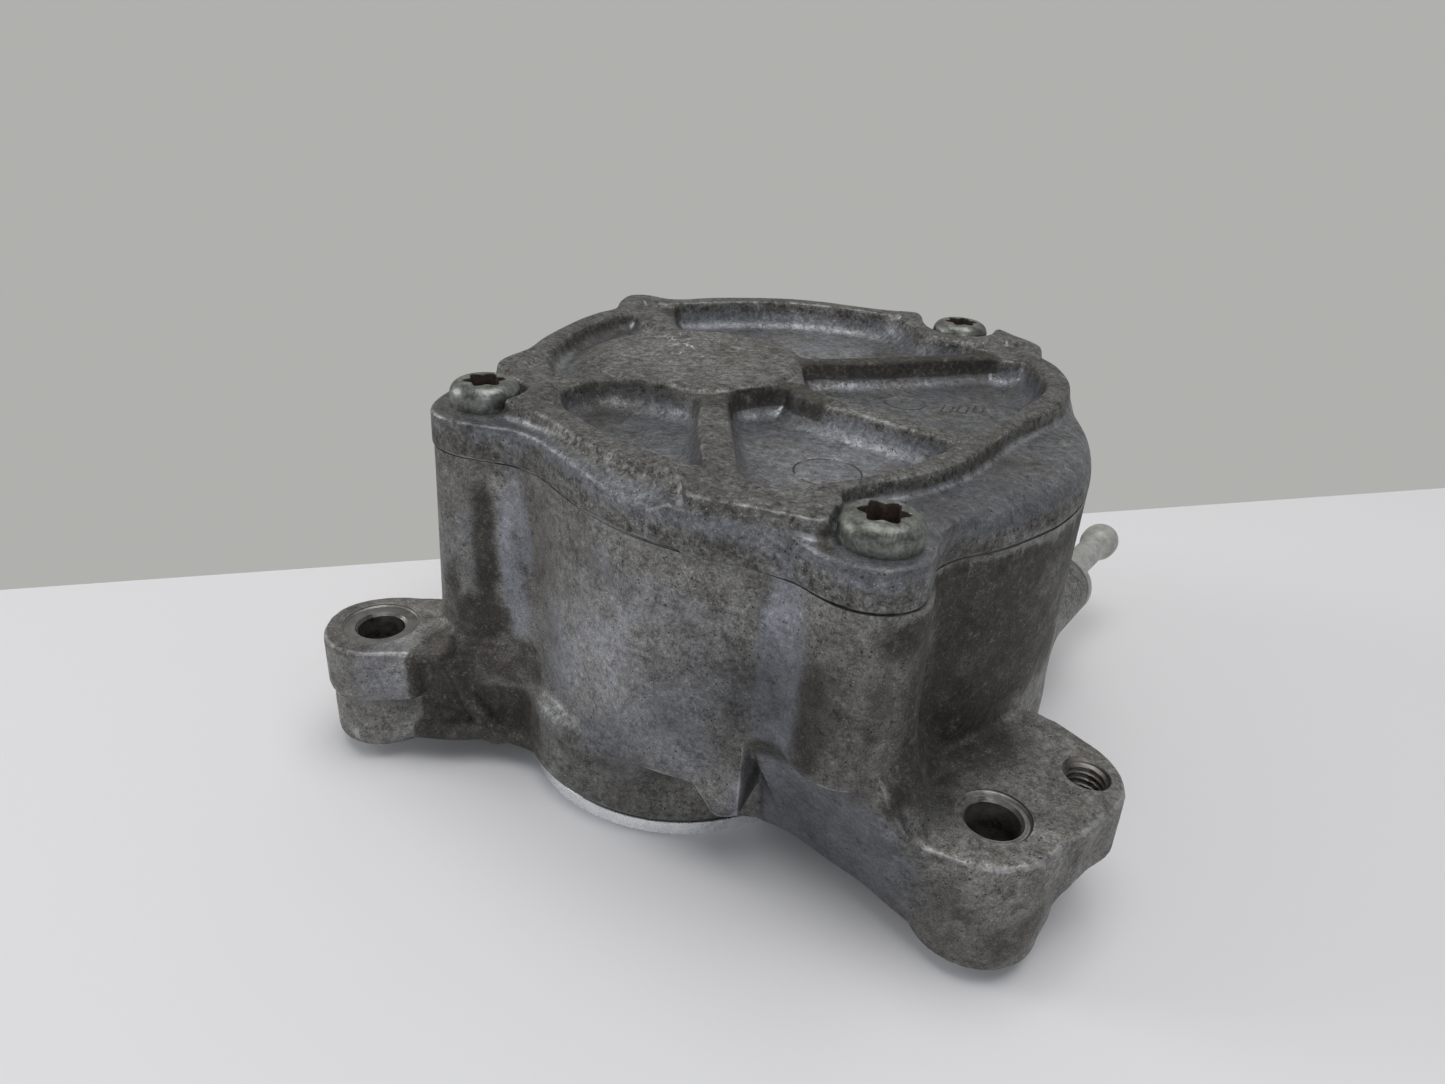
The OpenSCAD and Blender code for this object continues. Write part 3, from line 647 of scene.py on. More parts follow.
    # cast skin
    f += F32(0.035) * lumps(g, 7.0, 3) + F32(0.016) * lumps(g, 2.2, 4)
    return f


T12 = math.tan(math.radians(12))
T13 = math.tan(math.radians(13.5))


# blank raised bars on a pocket's floor: centre and half sizes
BARS = ((29.6, 33.8, 0.3, 1.2), (31.9, 35.2, 0.3, 1.2), (34.2, 36.6, 0.3, 1.2))


def cover_field(g):
    z = g.z[None, None, :]
    body, rim = g.poly(BODY), g.poly(RIM)
    X, Y = g.X, g.Y
    # flange: crisp upper edge, a big rounded shoulder only along the right side
    right = ramp01(X, 37, 43) * ramp01(Y, -15, -7) * (1 - ramp01(Y, 40, 52))
    k = (0.7 + 3.9 * right + 1.2 * ramp01(Y, 45, 60)).astype(F32)[:, :, None]
    over = 0.02 + 0.62 * (1 - ramp01(np.hypot(X + 29.3, Y + 8.4), 7.5, 13)) + 0.25 * (1 - ramp01(np.hypot(X - 33, Y + 22.5), 7.5, 11))
    side = body[:, :, None] - over.astype(F32)[:, :, None] + F32(0.02) * (z - JOINT_Z)
    side = smax(side, JOINT_Z - z, 0.5)
    lean = (ramp01(X, -19, -9) * (1 - ramp01(X, 7.5, 9.5)) * (1 - ramp01(Y, -12, -6))).astype(F32)
    out = np.clip(rim, 0, 6)
    top = z - (SEAT_Z + lean * (1.5 - 0.62 * out) + 0.1 * ramp01(out, 0, 3) * 0)[:, :, None]
    h = np.maximum(k - np.abs(side - top), 0)
    fl = np.maximum(side, top) + h * h * 0.25 / k
    for cx, cy in SCREWS:
        d = np.hypot(X - cx, Y - cy)[:, :, None]
        seat = smax(d - 6.5 - (SEAT_Z - z) * F32(0.05), z - SEAT_Z, 0.6)
        fl = smin(fl, np.maximum(seat, side), 0.7)
    # raised rim, ribs and hub
    hub = 1 - ramp01(np.hypot(X + 10, Y - 23), 15.9, 16.9)
    m = ramp01(-rim, 3.2, 5.0)
    tz = (RIM_Z - m * ((1 - hub) * 0.85 + hub * 0.28)).astype(F32)[:, :, None]
    block = ramp01(X, 7.5, 9.5) * (1 - ramp01(X, 25, 27.5)) * (1 - ramp01(Y, -24, -20))
    slope = (T12 * (1 - 0.85 * block)).astype(F32)[:, :, None]
    up = smax(smax(rim[:, :, None] - slope * (RIM_Z - z), z - tz, 0.65), JOINT_Z - z, 0.5)
    f = smin(fl, up, 1.0)
    # pockets with sloped walls and rounded floors
    for i, P in enumerate(POCKETS):
        d = g.poly(P)[:, :, None]
        fz = np.full(X.shape, FLOOR_P, F32)
        if i == 0:
            q = np.stack([X + 1.0, Y + 5.9], -1)
            u, v = q[..., 0] * 0.854 + q[..., 1] * 0.521, -q[..., 0] * 0.521 + q[..., 1] * 0.854
            fz = fz + 0.16 * np.exp(-(np.maximum(np.abs(u) - 2.1, np.abs(v) - 1.2) / 0.30) ** 2)
        if i == 1:
            r = np.hypot(X - 20.3, Y + 0.9)
            fz = fz - 0.20 * np.exp(-((r - 4.65) / 0.30) ** 2)
        if i == 2:
            r = np.hypot(X - 22.8, Y - 33.0)
            fz = fz + 0.18 * np.exp(-((r - 3.0) / 0.32) ** 2)
            for u0, v0, hx, hy in BARS:
                b = np.maximum(np.abs(X - u0) - hx, np.abs(Y - v0) - hy)
                fz = fz + 0.17 * np.exp(-(np.maximum(b, 0) / 0.30) ** 2)
        p = smax(d + F32(T13) * (RIM_Z - z), fz[:, :, None] - z, 2.5)
        f = smax(f, -p, 0.55)
    c = g.poly(CRESCENT)[:, :, None]
    r = np.hypot(X + 10, Y - 23)
    fz = (RIM_Z - 0.4 - 2.5 * ramp01(r, 15.6, 23.0))[:, :, None]
    p = smax(c + F32(T13) * (RIM_Z - z), fz - z, 2.0)
    f = smax(f, -p, 0.6)
    f += F32(0.020) * lumps(g, 6.0, 13) + F32(0.010) * lumps(g, 1.8, 14)
    return f


# ---------------------------------------------------------------- materials
def new_mat(name):
    m = bpy.data.materials.new(name)
    m.use_nodes = True
    m.node_tree.nodes.clear()
    return m


class Net:
    def __init__(self, m):
        self.m = m
        self.t = m.node_tree
        self.out = self.t.nodes.new("ShaderNodeOutputMaterial")
        self.b = self.t.nodes.new("ShaderNodeBsdfPrincipled")
        self.t.links.new(self.b.outputs[0], self.out.inputs[0])
        self.co = self.t.nodes.new("ShaderNodeTexCoord").outputs["Object"]

    def put(self, n, i, v):
        if isinstance(v, bpy.types.NodeSocket):
            self.t.links.new(v, n.inputs[i])
        elif v is not None:
            n.inputs[i].default_value = v

    def noise(self, scale, detail=4.0, rough=0.55, warp=0.0, vec=None):
        """Noise with features about 1/scale millimetres across."""
        n = self.t.nodes.new("ShaderNodeTexNoise")
        self.put(n, "Vector", vec or self.co)
        n.inputs["Scale"].default_value = scale * 1000
        n.inputs["Detail"].default_value = detail
        n.inputs["Roughness"].default_value = rough
        n.inputs["Distortion"].default_value = warp
        return n.outputs["Fac"]

    def cells(self, scale, feature="F1", random=1.0, vec=None):
        n = self.t.nodes.new("ShaderNodeTexVoronoi")
        n.feature = feature
        self.put(n, "Vector", vec or self.co)
        n.inputs["Scale"].default_value = scale * 1000
        n.inputs["Randomness"].default_value = random
        return n.outputs["Distance"]

    def stretch(self, s):
        n = self.t.nodes.new("ShaderNodeMapping")
        self.put(n, "Vector", self.co)
        n.inputs["Scale"].default_value = s
        return n.outputs[0]

    def math(self, op, a, b=None, c=None):
        n = self.t.nodes.new("ShaderNodeMath")
        n.operation = op
        for i, v in enumerate((a, b, c)):
            self.put(n, i, v)
        return n.outputs[0]

    def clip(self, a):
        n = self.t.nodes.new("ShaderNodeClamp")
        self.put(n, 0, a)
        return n.outputs[0]

    def step(self, a, lo, hi, x=0.0, y=1.0):
        n = self.t.nodes.new("ShaderNodeMapRange")
        n.interpolation_type = "SMOOTHSTEP"
        self.put(n, "Value", a)
        n.inputs["From Min"].default_value = lo
        n.inputs["From Max"].default_value = hi
        n.inputs["To Min"].default_value = x
        n.inputs["To Max"].default_value = y
        return n.outputs[0]

    def ramp(self, fac, stops):
        n = self.t.nodes.new("ShaderNodeValToRGB")
        e = n.color_ramp.elements
        while len(e) < len(stops):
            e.new(0.5)
        for k, (p, c) in zip(e, stops):
            k.position = p
            k.color = (*[lin(v) for v in c], 1)
        self.put(n, 0, fac)
        return n.outputs[0]

    def mix(self, fac, a, b, mode="MIX"):
        n = self.t.nodes.new("ShaderNodeMix")
        n.data_type = "RGBA"
        n.blend_type = mode
        self.put(n, 0, fac)
        self.put(n, 6, a if isinstance(a, bpy.types.NodeSocket) else (*[lin(v) for v in a], 1))
        self.put(n, 7, b if isinstance(b, bpy.types.NodeSocket) else (*[lin(v) for v in b], 1))
        return n.outputs[2]

    def attr(self, name):
        n = self.t.nodes.new("ShaderNodeAttribute")
        n.attribute_name = name
        return n.outputs["Fac"]

    def axis(self, i, vec=None):
        n = self.t.nodes.new("ShaderNodeSeparateXYZ")
        self.put(n, 0, vec or self.co)
        return n.outputs[i]

    def normal_axis(self, i):
        n = self.t.nodes.new("ShaderNodeNewGeometry")
        s = self.t.nodes.new("ShaderNodeSeparateXYZ")
        self.t.links.new(n.outputs["Normal"], s.inputs[0])
        return s.outputs[i]

    def bump(self, height, dist_mm, strength=1.0, under=None):
        n = self.t.nodes.new("ShaderNodeBump")
        n.inputs["Strength"].default_value = strength
        n.inputs["Distance"].default_value = dist_mm * MM
        self.put(n, "Height", height)
        if under is not None:
            self.t.links.new(under, n.inputs["Normal"])
        return n.outputs[0]

    def end(self, color, rough, metal=0.0, normal=None, **more):
        self.put(self.b, "Base Color", color if isinstance(color, bpy.types.NodeSocket) else (*[lin(v) for v in color], 1))
        self.put(self.b, "Roughness", rough)
        self.put(self.b, "Metallic", metal)
        if normal is not None:
            self.t.links.new(normal, self.b.inputs["Normal"])
        for k, v in more.items():
            self.put(self.b, k.replace("_", " "), v)
        return self.m


def lin(v):
    """sRGB 0-255 to linear."""
    v = v / 255
    return v / 12.92 if v <= 0.04045 else ((v + 0.055) / 1.055) ** 2.4


def cast_mat(name, light=1.0, weights=(0.26, 0.26, 0.22, 0.26), fillet_glint=0.0, marks=False, spread=1.0):
    m = Net(new_mat(name))
    cf, cs, cl = m.attr("cavity_fine"), m.attr("cavity_small"), m.attr("cavity_large")
    grime_shade, clean_and_sheen = m.attr("grime_and_shade"), m.attr("clean_and_sheen")
    L = lambda c: [min(v * light, 255) for v in c]
    at = lambda p: 0.51 + (p - 0.51) * spread
    big = m.noise(0.05, 5, 0.62, 0.4)
    mid = m.noise(0.30, 6, 0.70, 0.2)
    fine = m.noise(1.5, 5, 0.75)
    blot = m.noise(0.75, 6, 0.78, 0.3)
    grain = m.noise(4.2, 2, 0.6)
    warm = m.noise(0.09, 4, 0.6, 0.3, m.stretch((1.2, 0.9, 1.1)))
    # dull, brownish, mottled skin
    tone = m.math("ADD", m.math("MULTIPLY", mid, weights[0]), m.math("ADD", m.math("MULTIPLY", fine, weights[1]), m.math("MULTIPLY", grain, weights[2])))
    tone = m.math("ADD", tone, m.math("MULTIPLY", blot, weights[3]))
    skin = m.ramp(tone, [(at(0.37), L((60, 57, 53))), (at(0.45), L((101, 99, 96))), (at(0.51), L((126, 125, 122))), (at(0.57), L((148, 148, 147))), (at(0.66), L((196, 196, 197)))])
    # clean, cooler, even skin, partly a painted sheen: lighter and bluish where the faces would reflect the light
    cool_sheen = m.ramp(tone, [(at(0.38), L((98, 100, 106))), (at(0.46), L((126, 128, 135))), (at(0.54), L((146, 149, 157))), (at(0.64), L((180, 183, 192)))])
    pick = m.math("ADD", clean_and_sheen, m.math("MULTIPLY", m.math("SUBTRACT", warm, 0.5), 1.1))
    pick = m.step(pick, 0.10, 0.80)
    c = m.mix(pick, skin, cool_sheen)
    c = m.mix(m.math("MULTIPLY", m.step(big, 0.46, 0.62), m.step(clean_and_sheen, 0.8, 0.2, 0.08, 0.30)), c, L((70, 65, 58)))
    if fillet_glint:
        # painted highlight: concave fillets lightened toward near white where the overhead light would glint
        fillet_glint_mask = m.math("MULTIPLY", m.step(cf, 0.525, 0.585), m.step(m.noise(0.5, 6, 0.75), 0.40, 0.56))
        c = m.mix(m.math("MULTIPLY", fillet_glint_mask, fillet_glint), c, L((200, 202, 208)))
    # pits and pale flecks
    pits = m.step(m.cells(1.15), 0.12, 0.22, 1, 0)
    gate = m.step(m.noise(0.5, 4, 0.65), 0.47, 0.58)
    pit = m.math("MULTIPLY", pits, gate)
    c = m.mix(m.math("MULTIPLY", pit, 0.8), c, (26, 24, 22))
    spk = m.step(m.cells(2.3), 0.12, 0.22, 1, 0)
    gate2 = m.step(m.noise(0.38, 4, 0.65, 0, m.stretch((1, 1.1, 0.9))), 0.50, 0.62)
    c = m.mix(m.math("MULTIPLY", m.math("MULTIPLY", spk, gate2), 0.6), c, (212, 212, 210))
    # grime and painted shade: darker in deep hollows and in the listed zones, partly real grime, partly painted shade
    # and shadow
    dn = m.noise(0.16, 7, 0.72, 0.4)
    hollow = m.step(cl, 0.55, 0.76)
    darkening = m.math("ADD", m.math("MULTIPLY", hollow, 0.45), m.math("MULTIPLY", grime_shade, 1.0))
    darkening = m.math("ADD", darkening, m.math("MULTIPLY", m.math("SUBTRACT", dn, 0.5), 1.9))
    darkening = m.math("ADD", darkening, m.math("MULTIPLY", m.math("SUBTRACT", mid, 0.5), 1.5))
    darkening = m.math("ADD", darkening, m.math("MULTIPLY", m.math("SUBTRACT", fine, 0.5), 1.5))
    darkening = m.step(darkening, 0.30, 0.84)
    dcol = m.ramp(tone, [(0.42, (18, 16, 13)), (0.49, (34, 31, 26)), (0.55, (58, 53, 45)), (0.62, (112, 106, 95))])
    c = m.mix(m.math("MULTIPLY", darkening, 0.92), c, dcol)
    # worn edges, broken up: partly real wear, partly a painted highlight along the edges
    wear_and_glint = m.math("ADD", m.step(cf, 0.462, 0.385), m.math("MULTIPLY", m.math("SUBTRACT", m.noise(0.30, 7, 0.8), 0.5), 3.0))
    wear_and_glint = m.math("MULTIPLY", m.step(wear_and_glint, 0.55, 1.15), m.step(grime_shade, 0.9, 0.3))
    c = m.mix(m.math("MULTIPLY", wear_and_glint, 0.50), c, L((192, 192, 194)))
    if marks:
        x, y, z = m.axis(0), m.axis(1), m.axis(2)
        low = m.step(z, (FLOOR_P + 0.9) * MM, (FLOOR_P + 0.5) * MM)
        # dark lines round the floor's rings and raised bars: painted shade standing in for the shading of their low
        # relief
        for cx, cy, r, w, k in ((20.3, -0.9, 4.65, 0.24, 0.9), (22.8, 33.0, 3.3, 0.22, 0.8)):
            dx, dy = m.math("SUBTRACT", x, cx * MM), m.math("SUBTRACT", y, cy * MM)
            d = m.math("SQRT", m.math("ADD", m.math("MULTIPLY", dx, dx), m.math("MULTIPLY", dy, dy)))
            e = m.math("ABSOLUTE", m.math("SUBTRACT", m.math("ADD", d, m.math("MULTIPLY", fine, 0.0003)), (r + 0.15) * MM))
            line = m.math("MULTIPLY", m.step(e, w * MM, 0.3 * w * MM), low)
            line = m.math("MULTIPLY", line, m.step(m.noise(0.35, 4, 0.6), 0.38, 0.50))
            c = m.mix(m.math("MULTIPLY", line, k), c, (40, 33, 28))
        for u0, v0, hx, hy in BARS:
            e = m.math("MAXIMUM", m.math("SUBTRACT", m.math("ABSOLUTE", m.math("SUBTRACT", x, u0 * MM)), hx * MM),
                       m.math("SUBTRACT", m.math("ABSOLUTE", m.math("SUBTRACT", y, v0 * MM)), hy * MM))
            e = m.math("ABSOLUTE", m.math("SUBTRACT", e, 0.42 * MM))
            line = m.math("MULTIPLY", m.math("MULTIPLY", m.step(e, 0.24 * MM, 0.08 * MM), low), m.step(fine, 0.42, 0.50))
            c = m.mix(m.math("MULTIPLY", line, 0.85), c, (38, 32, 27))
        # scratches on the hub
        dx, dy = m.math("ADD", x, 14 * MM), m.math("SUBTRACT", y, 30 * MM)
        near = m.step(m.math("SQRT", m.math("ADD", m.math("MULTIPLY", dx, dx), m.math("MULTIPLY", dy, dy))), 13 * MM, 5 * MM)
        near = m.math("MULTIPLY", near, m.step(z, 56.4 * MM, 56.8 * MM))
        warp = m.t.nodes.new("ShaderNodeVectorMath")
        warp.operation = "ADD"
        wn = m.t.nodes.new("ShaderNodeTexNoise")
        wn.inputs["Scale"].default_value = 160
        wn.inputs["Detail"].default_value = 2
        m.t.links.new(m.co, wn.inputs["Vector"])
        ws = m.t.nodes.new("ShaderNodeVectorMath")
        ws.operation = "SCALE"
        ws.inputs["Scale"].default_value = 0.006
        m.t.links.new(wn.outputs["Color"], ws.inputs[0])
        m.t.links.new(m.co, warp.inputs[0])
        m.t.links.new(ws.outputs[0], warp.inputs[1])
        edge = m.cells(0.30, "DISTANCE_TO_EDGE", 1.0, warp.outputs[0])
        sc = m.math("MULTIPLY", m.step(edge, 0.035, 0.008), m.step(m.noise(0.45, 3, 0.6), 0.50, 0.58))
        c = m.mix(m.math("MULTIPLY", m.math("MULTIPLY", sc, near), 0.75), c, (206, 206, 206))
    # painted light and shade: broad lighter and darker zones as a factor on the colour
    sv = m.t.nodes.new("ShaderNodeVectorMath")
    sv.operation = "SCALE"
    m.t.links.new(c, sv.inputs[0])
    m.t.links.new(m.attr("painted_light_shade"), sv.inputs["Scale"])
    c = sv.outputs[0]
    rough = m.math("ADD", m.step(tone, 0.35, 0.65, 0.60, 0.46), m.math("MULTIPLY", darkening, 0.14))
    rough = m.math("SUBTRACT", rough, m.math("MULTIPLY", pick, 0.12))
    h = m.math("ADD", m.math("MULTIPLY", fine, 0.6), m.math("MULTIPLY", grain, 0.3))
    h = m.math("SUBTRACT", h, m.math("MULTIPLY", pit, 0.5))
    nb = m.bump(h, 0.075, 1.0, m.bump(mid, 0.22, 0.8))
    metal = m.step(darkening, 0.1, 0.9, 0.72, 0.10)
    return m.end(c, rough, metal, nb)


def machined_mat(name, center=(0, 0), base=(176, 177, 180), pitch=0.35, rough=0.34, darkening=0.3, lows=(0.70, 0.93)):
    """Turned or milled face: rings round a centre, with light staining."""
    m = Net(new_mat(name))
    x, y = m.axis(0), m.axis(1)
    dx, dy = m.math("SUBTRACT", x, center[0] * MM), m.math("SUBTRACT", y, center[1] * MM)
    r = m.math("SQRT", m.math("ADD", m.math("MULTIPLY", dx, dx), m.math("MULTIPLY", dy, dy)))
    rr = m.math("ADD", r, m.math("MULTIPLY", m.axis(2), 1.0))
    ring = m.math("SINE", m.math("MULTIPLY", rr, 2 * math.pi / (pitch * MM)))
    n1, n2 = m.noise(0.12, 5, 0.65, 0.3), m.noise(0.9, 4, 0.7)
    c = m.ramp(m.math("ADD", m.math("MULTIPLY", n1, 0.6), m.math("MULTIPLY", n2, 0.4)),
               [(0.36, [v * lows[0] for v in base]), (0.52, [v * lows[1] for v in base]), (0.66, [min(v * 1.08, 255) for v in base])])
    d = m.step(m.math("ADD", n1, m.math("MULTIPLY", n2, 0.3)), 0.62, 0.80)
    c = m.mix(m.math("MULTIPLY", d, darkening), c, (52, 45, 37))
    rg = m.step(n2, 0.3, 0.7, rough - 0.06, rough + 0.12)
    return m.end(c, rg, 0.92, m.bump(m.math("ADD", m.math("MULTIPLY", ring, 0.5), m.math("MULTIPLY", n2, 0.8)), 0.018, 0.8))


def bore_mat(name, base=(120, 118, 114)):
    m = Net(new_mat(name))
    n1, n2 = m.noise(0.35, 4, 0.65), m.noise(1.6, 3, 0.6, vec=m.stretch((1, 1, 6)))
    c = m.ramp(m.math("ADD", m.math("MULTIPLY", n1, 0.6), m.math("MULTIPLY", n2, 0.4)),
               [(0.36, (58, 54, 49)), (0.5, [v * 0.85 for v in base]), (0.66, base)])
    return m.end(c, m.step(n1, 0.3, 0.7, 0.34, 0.52), 0.85, m.bump(n2, 0.03, 0.8))


def zinc_mat(name):
    """Passivated zinc on the screws, rust in the drive recess."""
    m = Net(new_mat(name))
    so = m.attr("socket")
    n1, n2 = m.noise(0.5, 5, 0.66, 0.4), m.noise(2.2, 4, 0.7)
    t = m.math("ADD", m.math("MULTIPLY", n1, 0.6), m.math("MULTIPLY", n2, 0.4))
    c = m.ramp(t, [(0.36, (76, 76, 70)), (0.47, (110, 112, 107)), (0.56, (134, 137, 133)), (0.68, (172, 175, 172))])
    stain = m.step(m.math("ADD", m.noise(0.28, 4, 0.6), m.math("MULTIPLY", so, 0.6)), 0.60, 0.92)
    c = m.mix(m.math("MULTIPLY", stain, 0.6), c, (78, 66, 50))
    rust = m.ramp(t, [(0.36, (22, 17, 14)), (0.5, (46, 35, 28)), (0.64, (80, 62, 50))])
    rf = m.step(m.math("ADD", so, m.math("MULTIPLY", m.math("SUBTRACT", n1, 0.5), 0.9)), 0.42, 0.70)
    c = m.mix(rf, c, rust)
    rough = m.step(m.math("ADD", n2, m.math("MULTIPLY", rf, 0.5)), 0.3, 1.1, 0.34, 0.80)
    metal = m.step(rf, 0.1, 0.9, 0.85, 0.1)
    return m.end(c, rough, metal, m.bump(m.math("ADD", n2, m.math("MULTIPLY", n1, 0.6)), 0.035, 0.9))


def steel_mat(name, lo, hi, rough=0.32, metal=1.0, scale=0.5, stretch=(1, 1, 1), bump=0.02):
    m = Net(new_mat(name))
    v = m.stretch(stretch)
    n1, n2 = m.noise(scale, 5, 0.62, 0.3), m.noise(scale * 5, 3, 0.6, vec=v)
    t = m.math("ADD", m.math("MULTIPLY", n1, 0.55), m.math("MULTIPLY", n2, 0.45))
    c = m.ramp(t, [(0.36, lo), (0.62, hi)])
    return m.end(c, m.step(n2, 0.3, 0.7, rough - 0.06, rough + 0.1), metal, m.bump(n2, bump, 0.9))


def plain_mat(name, lo, hi, rough=0.6, scale=0.6, bump=0.02, metal=0.0, spec=0.5):
    m = Net(new_mat(name))
    n1, n2 = m.noise(scale, 5, 0.62, 0.3), m.noise(scale * 6, 3, 0.6)
    t = m.math("ADD", m.math("MULTIPLY", n1, 0.6), m.math("MULTIPLY", n2, 0.4))
    return m.end(m.ramp(t, [(0.36, lo), (0.64, hi)]), m.step(n2, 0.3, 0.7, rough - 0.06, rough + 0.08), metal,
                 m.bump(n2, bump, 0.9), Specular_IOR_Level=spec)


CAST = cast_mat("cast_aluminium", 1.0, (0.28, 0.26, 0.24, 0.22), spread=0.92)
CASTC = cast_mat("cast_aluminium_cover", 0.85, (0.22, 0.24, 0.18, 0.36), 0.75, True, 0.74)
TURNED = machined_mat("machined_aluminium")
SPIGOT = machined_mat("turned_spigot", (0, 0), (250, 251, 254), 0.30, 0.26, 0.0, (0.93, 0.98))
BORE = bore_mat("bore_wall", (156, 154, 150))
THREAD = bore_mat("thread_wall", (150, 146, 140))
SPOT_L = machined_mat("spot_face_left", EAR_L, (150, 149, 146), 0.5, 0.42, 0.6)
SPOT_R = machined_mat("spot_face_right", EAR_R, (168, 167, 165), 0.5, 0.36, 0.6)
ZINC = zinc_mat("zinc_screw")
BEAD = plain_mat("nipple_grey", (140, 141, 136), (186, 187, 182), 0.5, 0.5, 0.02, 0.25)
ROTOR = steel_mat("rotor_steel", (96, 97, 100), (150, 151, 154), 0.34, 1.0, 0.35, (1, 1, 6))
VANE = plain_mat("vane_composite", (34, 34, 36), (58, 58, 60), 0.45, 0.7, 0.02)
TIP = plain_mat("tip_carbon", (44, 44, 46), (78, 78, 80), 0.38, 0.9, 0.02)
PIN = steel_mat("pin_steel", (150, 151, 154), (200, 201, 204), 0.24)
COUPLING = steel_mat("coupling_steel", (112, 108, 101), (156, 151, 142), 0.40)
SPRING = steel_mat("clip_spring_steel", (52, 52, 56), (92, 92, 96), 0.34)
TUBE = steel_mat("tube_metal", (150, 145, 134), (196, 190, 178), 0.30)
BRASS = steel_mat("strainer_brass", (150, 126, 74), (196, 172, 112), 0.34)
RUBBER = plain_mat("seal_rubber", (14, 14, 15), (30, 30, 31), 0.55, 0.8, 0.03)
VALVE = plain_mat("valve_rubber", (20, 20, 21), (40, 40, 41), 0.58, 0.8, 0.03)
WIRE = steel_mat("spring_wire", (132, 133, 136), (182, 183, 186), 0.26)
REED = steel_mat("reed_steel", (110, 114, 122), (168, 171, 178), 0.22, 1.0, 0.6, (1, 8, 1))
STOP = steel_mat("stop_steel", (120, 120, 120), (170, 170, 168), 0.36)
SMALL = steel_mat("small_screw", (116, 115, 108), (166, 164, 156), 0.34)


# ---------------------------------------------------------------- building the pieces
def set_mats(o, *mats):
    o.data.materials.clear()
    for m in mats:
        o.data.materials.append(m)


def cutter(o, mat):
    set_mats(o, mat)
    return o


def cyl(name, r, z0, z1, at=(0, 0), n=64, mat=None, c0=0.0, c1=0.0):
    """Upright cylinder; c0 and c1 widen its lower and upper end, for broken hole edges."""
    prof = [(0, z0), (r + c0, z0)]
    if c0:
        prof.append((r, z0 + c0))
    if c1:
        prof.append((r, z1 - c1))
    prof += [(r + c1, z1), (0, z1)]
    o = lathe(name, prof, (at[0], at[1], 0), None, n)
    return cutter(o, mat) if mat else o


def along_inlet(name, prof, n=96, closed=False):
    """Revolved profile (r, s) about the inlet's axis, s measured outward from the bead."""
    turn = Matrix.Rotation(math.radians(INLET_DIR), 4, "Z") @ Matrix.Rotation(math.radians(90), 4, "Y")
    return lathe(name, prof, (BEAD_C[0], BEAD_C[1], INLET_Z), turn, n, closed)


def reed_at(P):
    c, s = math.cos(math.radians(REED_DIR)), math.sin(math.radians(REED_DIR))
    return [(PORT_C[0] + c * x - s * y, PORT_C[1] + s * x + c * y) for x, y in P]


NOSE_C = ROTOR_R + ECC - 2.5


def nose_line(step=1.5, grow=2.56):
    a = np.radians(np.arange(0, 360, step))
    r = NOSE_C + ECC * np.cos(a - math.radians(ECC_DIR))
    P = np.stack([r * np.cos(a), r * np.sin(a)], 1)
    return offset(P, grow)


def sector(a0, a1, r_in, extra, z0, z1, name):
    a = np.radians(np.arange(a0, a1 + 0.1, 3))
    R = NOSE_C + ECC * np.cos(a - math.radians(ECC_DIR)) + extra
    P = [(r * math.cos(t), r * math.sin(t)) for r, t in zip(R, a)] + [(r_in * math.cos(t), r_in * math.sin(t)) for t in a[::-1]]
    return prism(name, P, z0, z1)


def cast_body(name, low, high, h, field, target, mat):
    g = Grid(low, high, h)
    g.f = field(g)
    for s in ((0, slice(None), slice(None)), (-1, slice(None), slice(None)), (slice(None), 0, slice(None)),
              (slice(None), -1, slice(None)), (slice(None), slice(None), 0), (slice(None), slice(None), -1)):
        g.f[s] = np.maximum(g.f[s], 0.5)
    FINE[name] = (blur(np.clip(0.5 - g.f / h, 0, 1).astype(F32), 1, 2), g.low, h)
    V, Q = surface(g)
    o = make_mesh(name, V, Q)
    print(name, "net", len(V), "vertices")
    keep_main(o)
    thin_to(o, target)
    set_mats(o, mat)
    return o


def keep_main(o):
    """Drops loose crumbs, keeping the largest connected part."""
    me = o.data
    n = len(me.vertices)
    e = np.zeros(len(me.edges) * 2, np.int32)
    me.edges.foreach_get("vertices", e)
    e = e.reshape(-1, 2)
    lab = np.arange(n)
    while True:
        m = np.minimum(lab[e[:, 0]], lab[e[:, 1]])
        new = lab.copy()
        np.minimum.at(new, e[:, 0], m)
        np.minimum.at(new, e[:, 1], m)
        new = new[new]
        if (new == lab).all():
            break
        lab = new
    big = np.bincount(lab).argmax()
    if (lab == big).all():
        return
    bm = bmesh.new()
    bm.from_mesh(me)
    bmesh.ops.delete(bm, geom=[v for v in bm.verts if lab[v.index] != big], context="VERTS")
    bm.to_mesh(me)
    bm.free()


FINE = {}
HH, HC = ((0.42, 0.30))
N_H, N_C = ((165000, 165000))

# housing
housing = cast_body("housing_casting", (-53, -33.5, 1.2), (69, 78.5, 51.5), HH, housing_field, N_H, CAST)
spigot = lathe("spigot_turned", [(0, 0), (23.4, 0), (24, 0.6), (24, 2.62), (23.9, 2.7), (22.8, 2.7), (22.8, 4.0), (24, 4.0),
                                 (24, 6), (0, 6)], n=192)
set_mats(spigot, SPIGOT)
boolean(housing, spigot, "UNION")
drop(spigot)

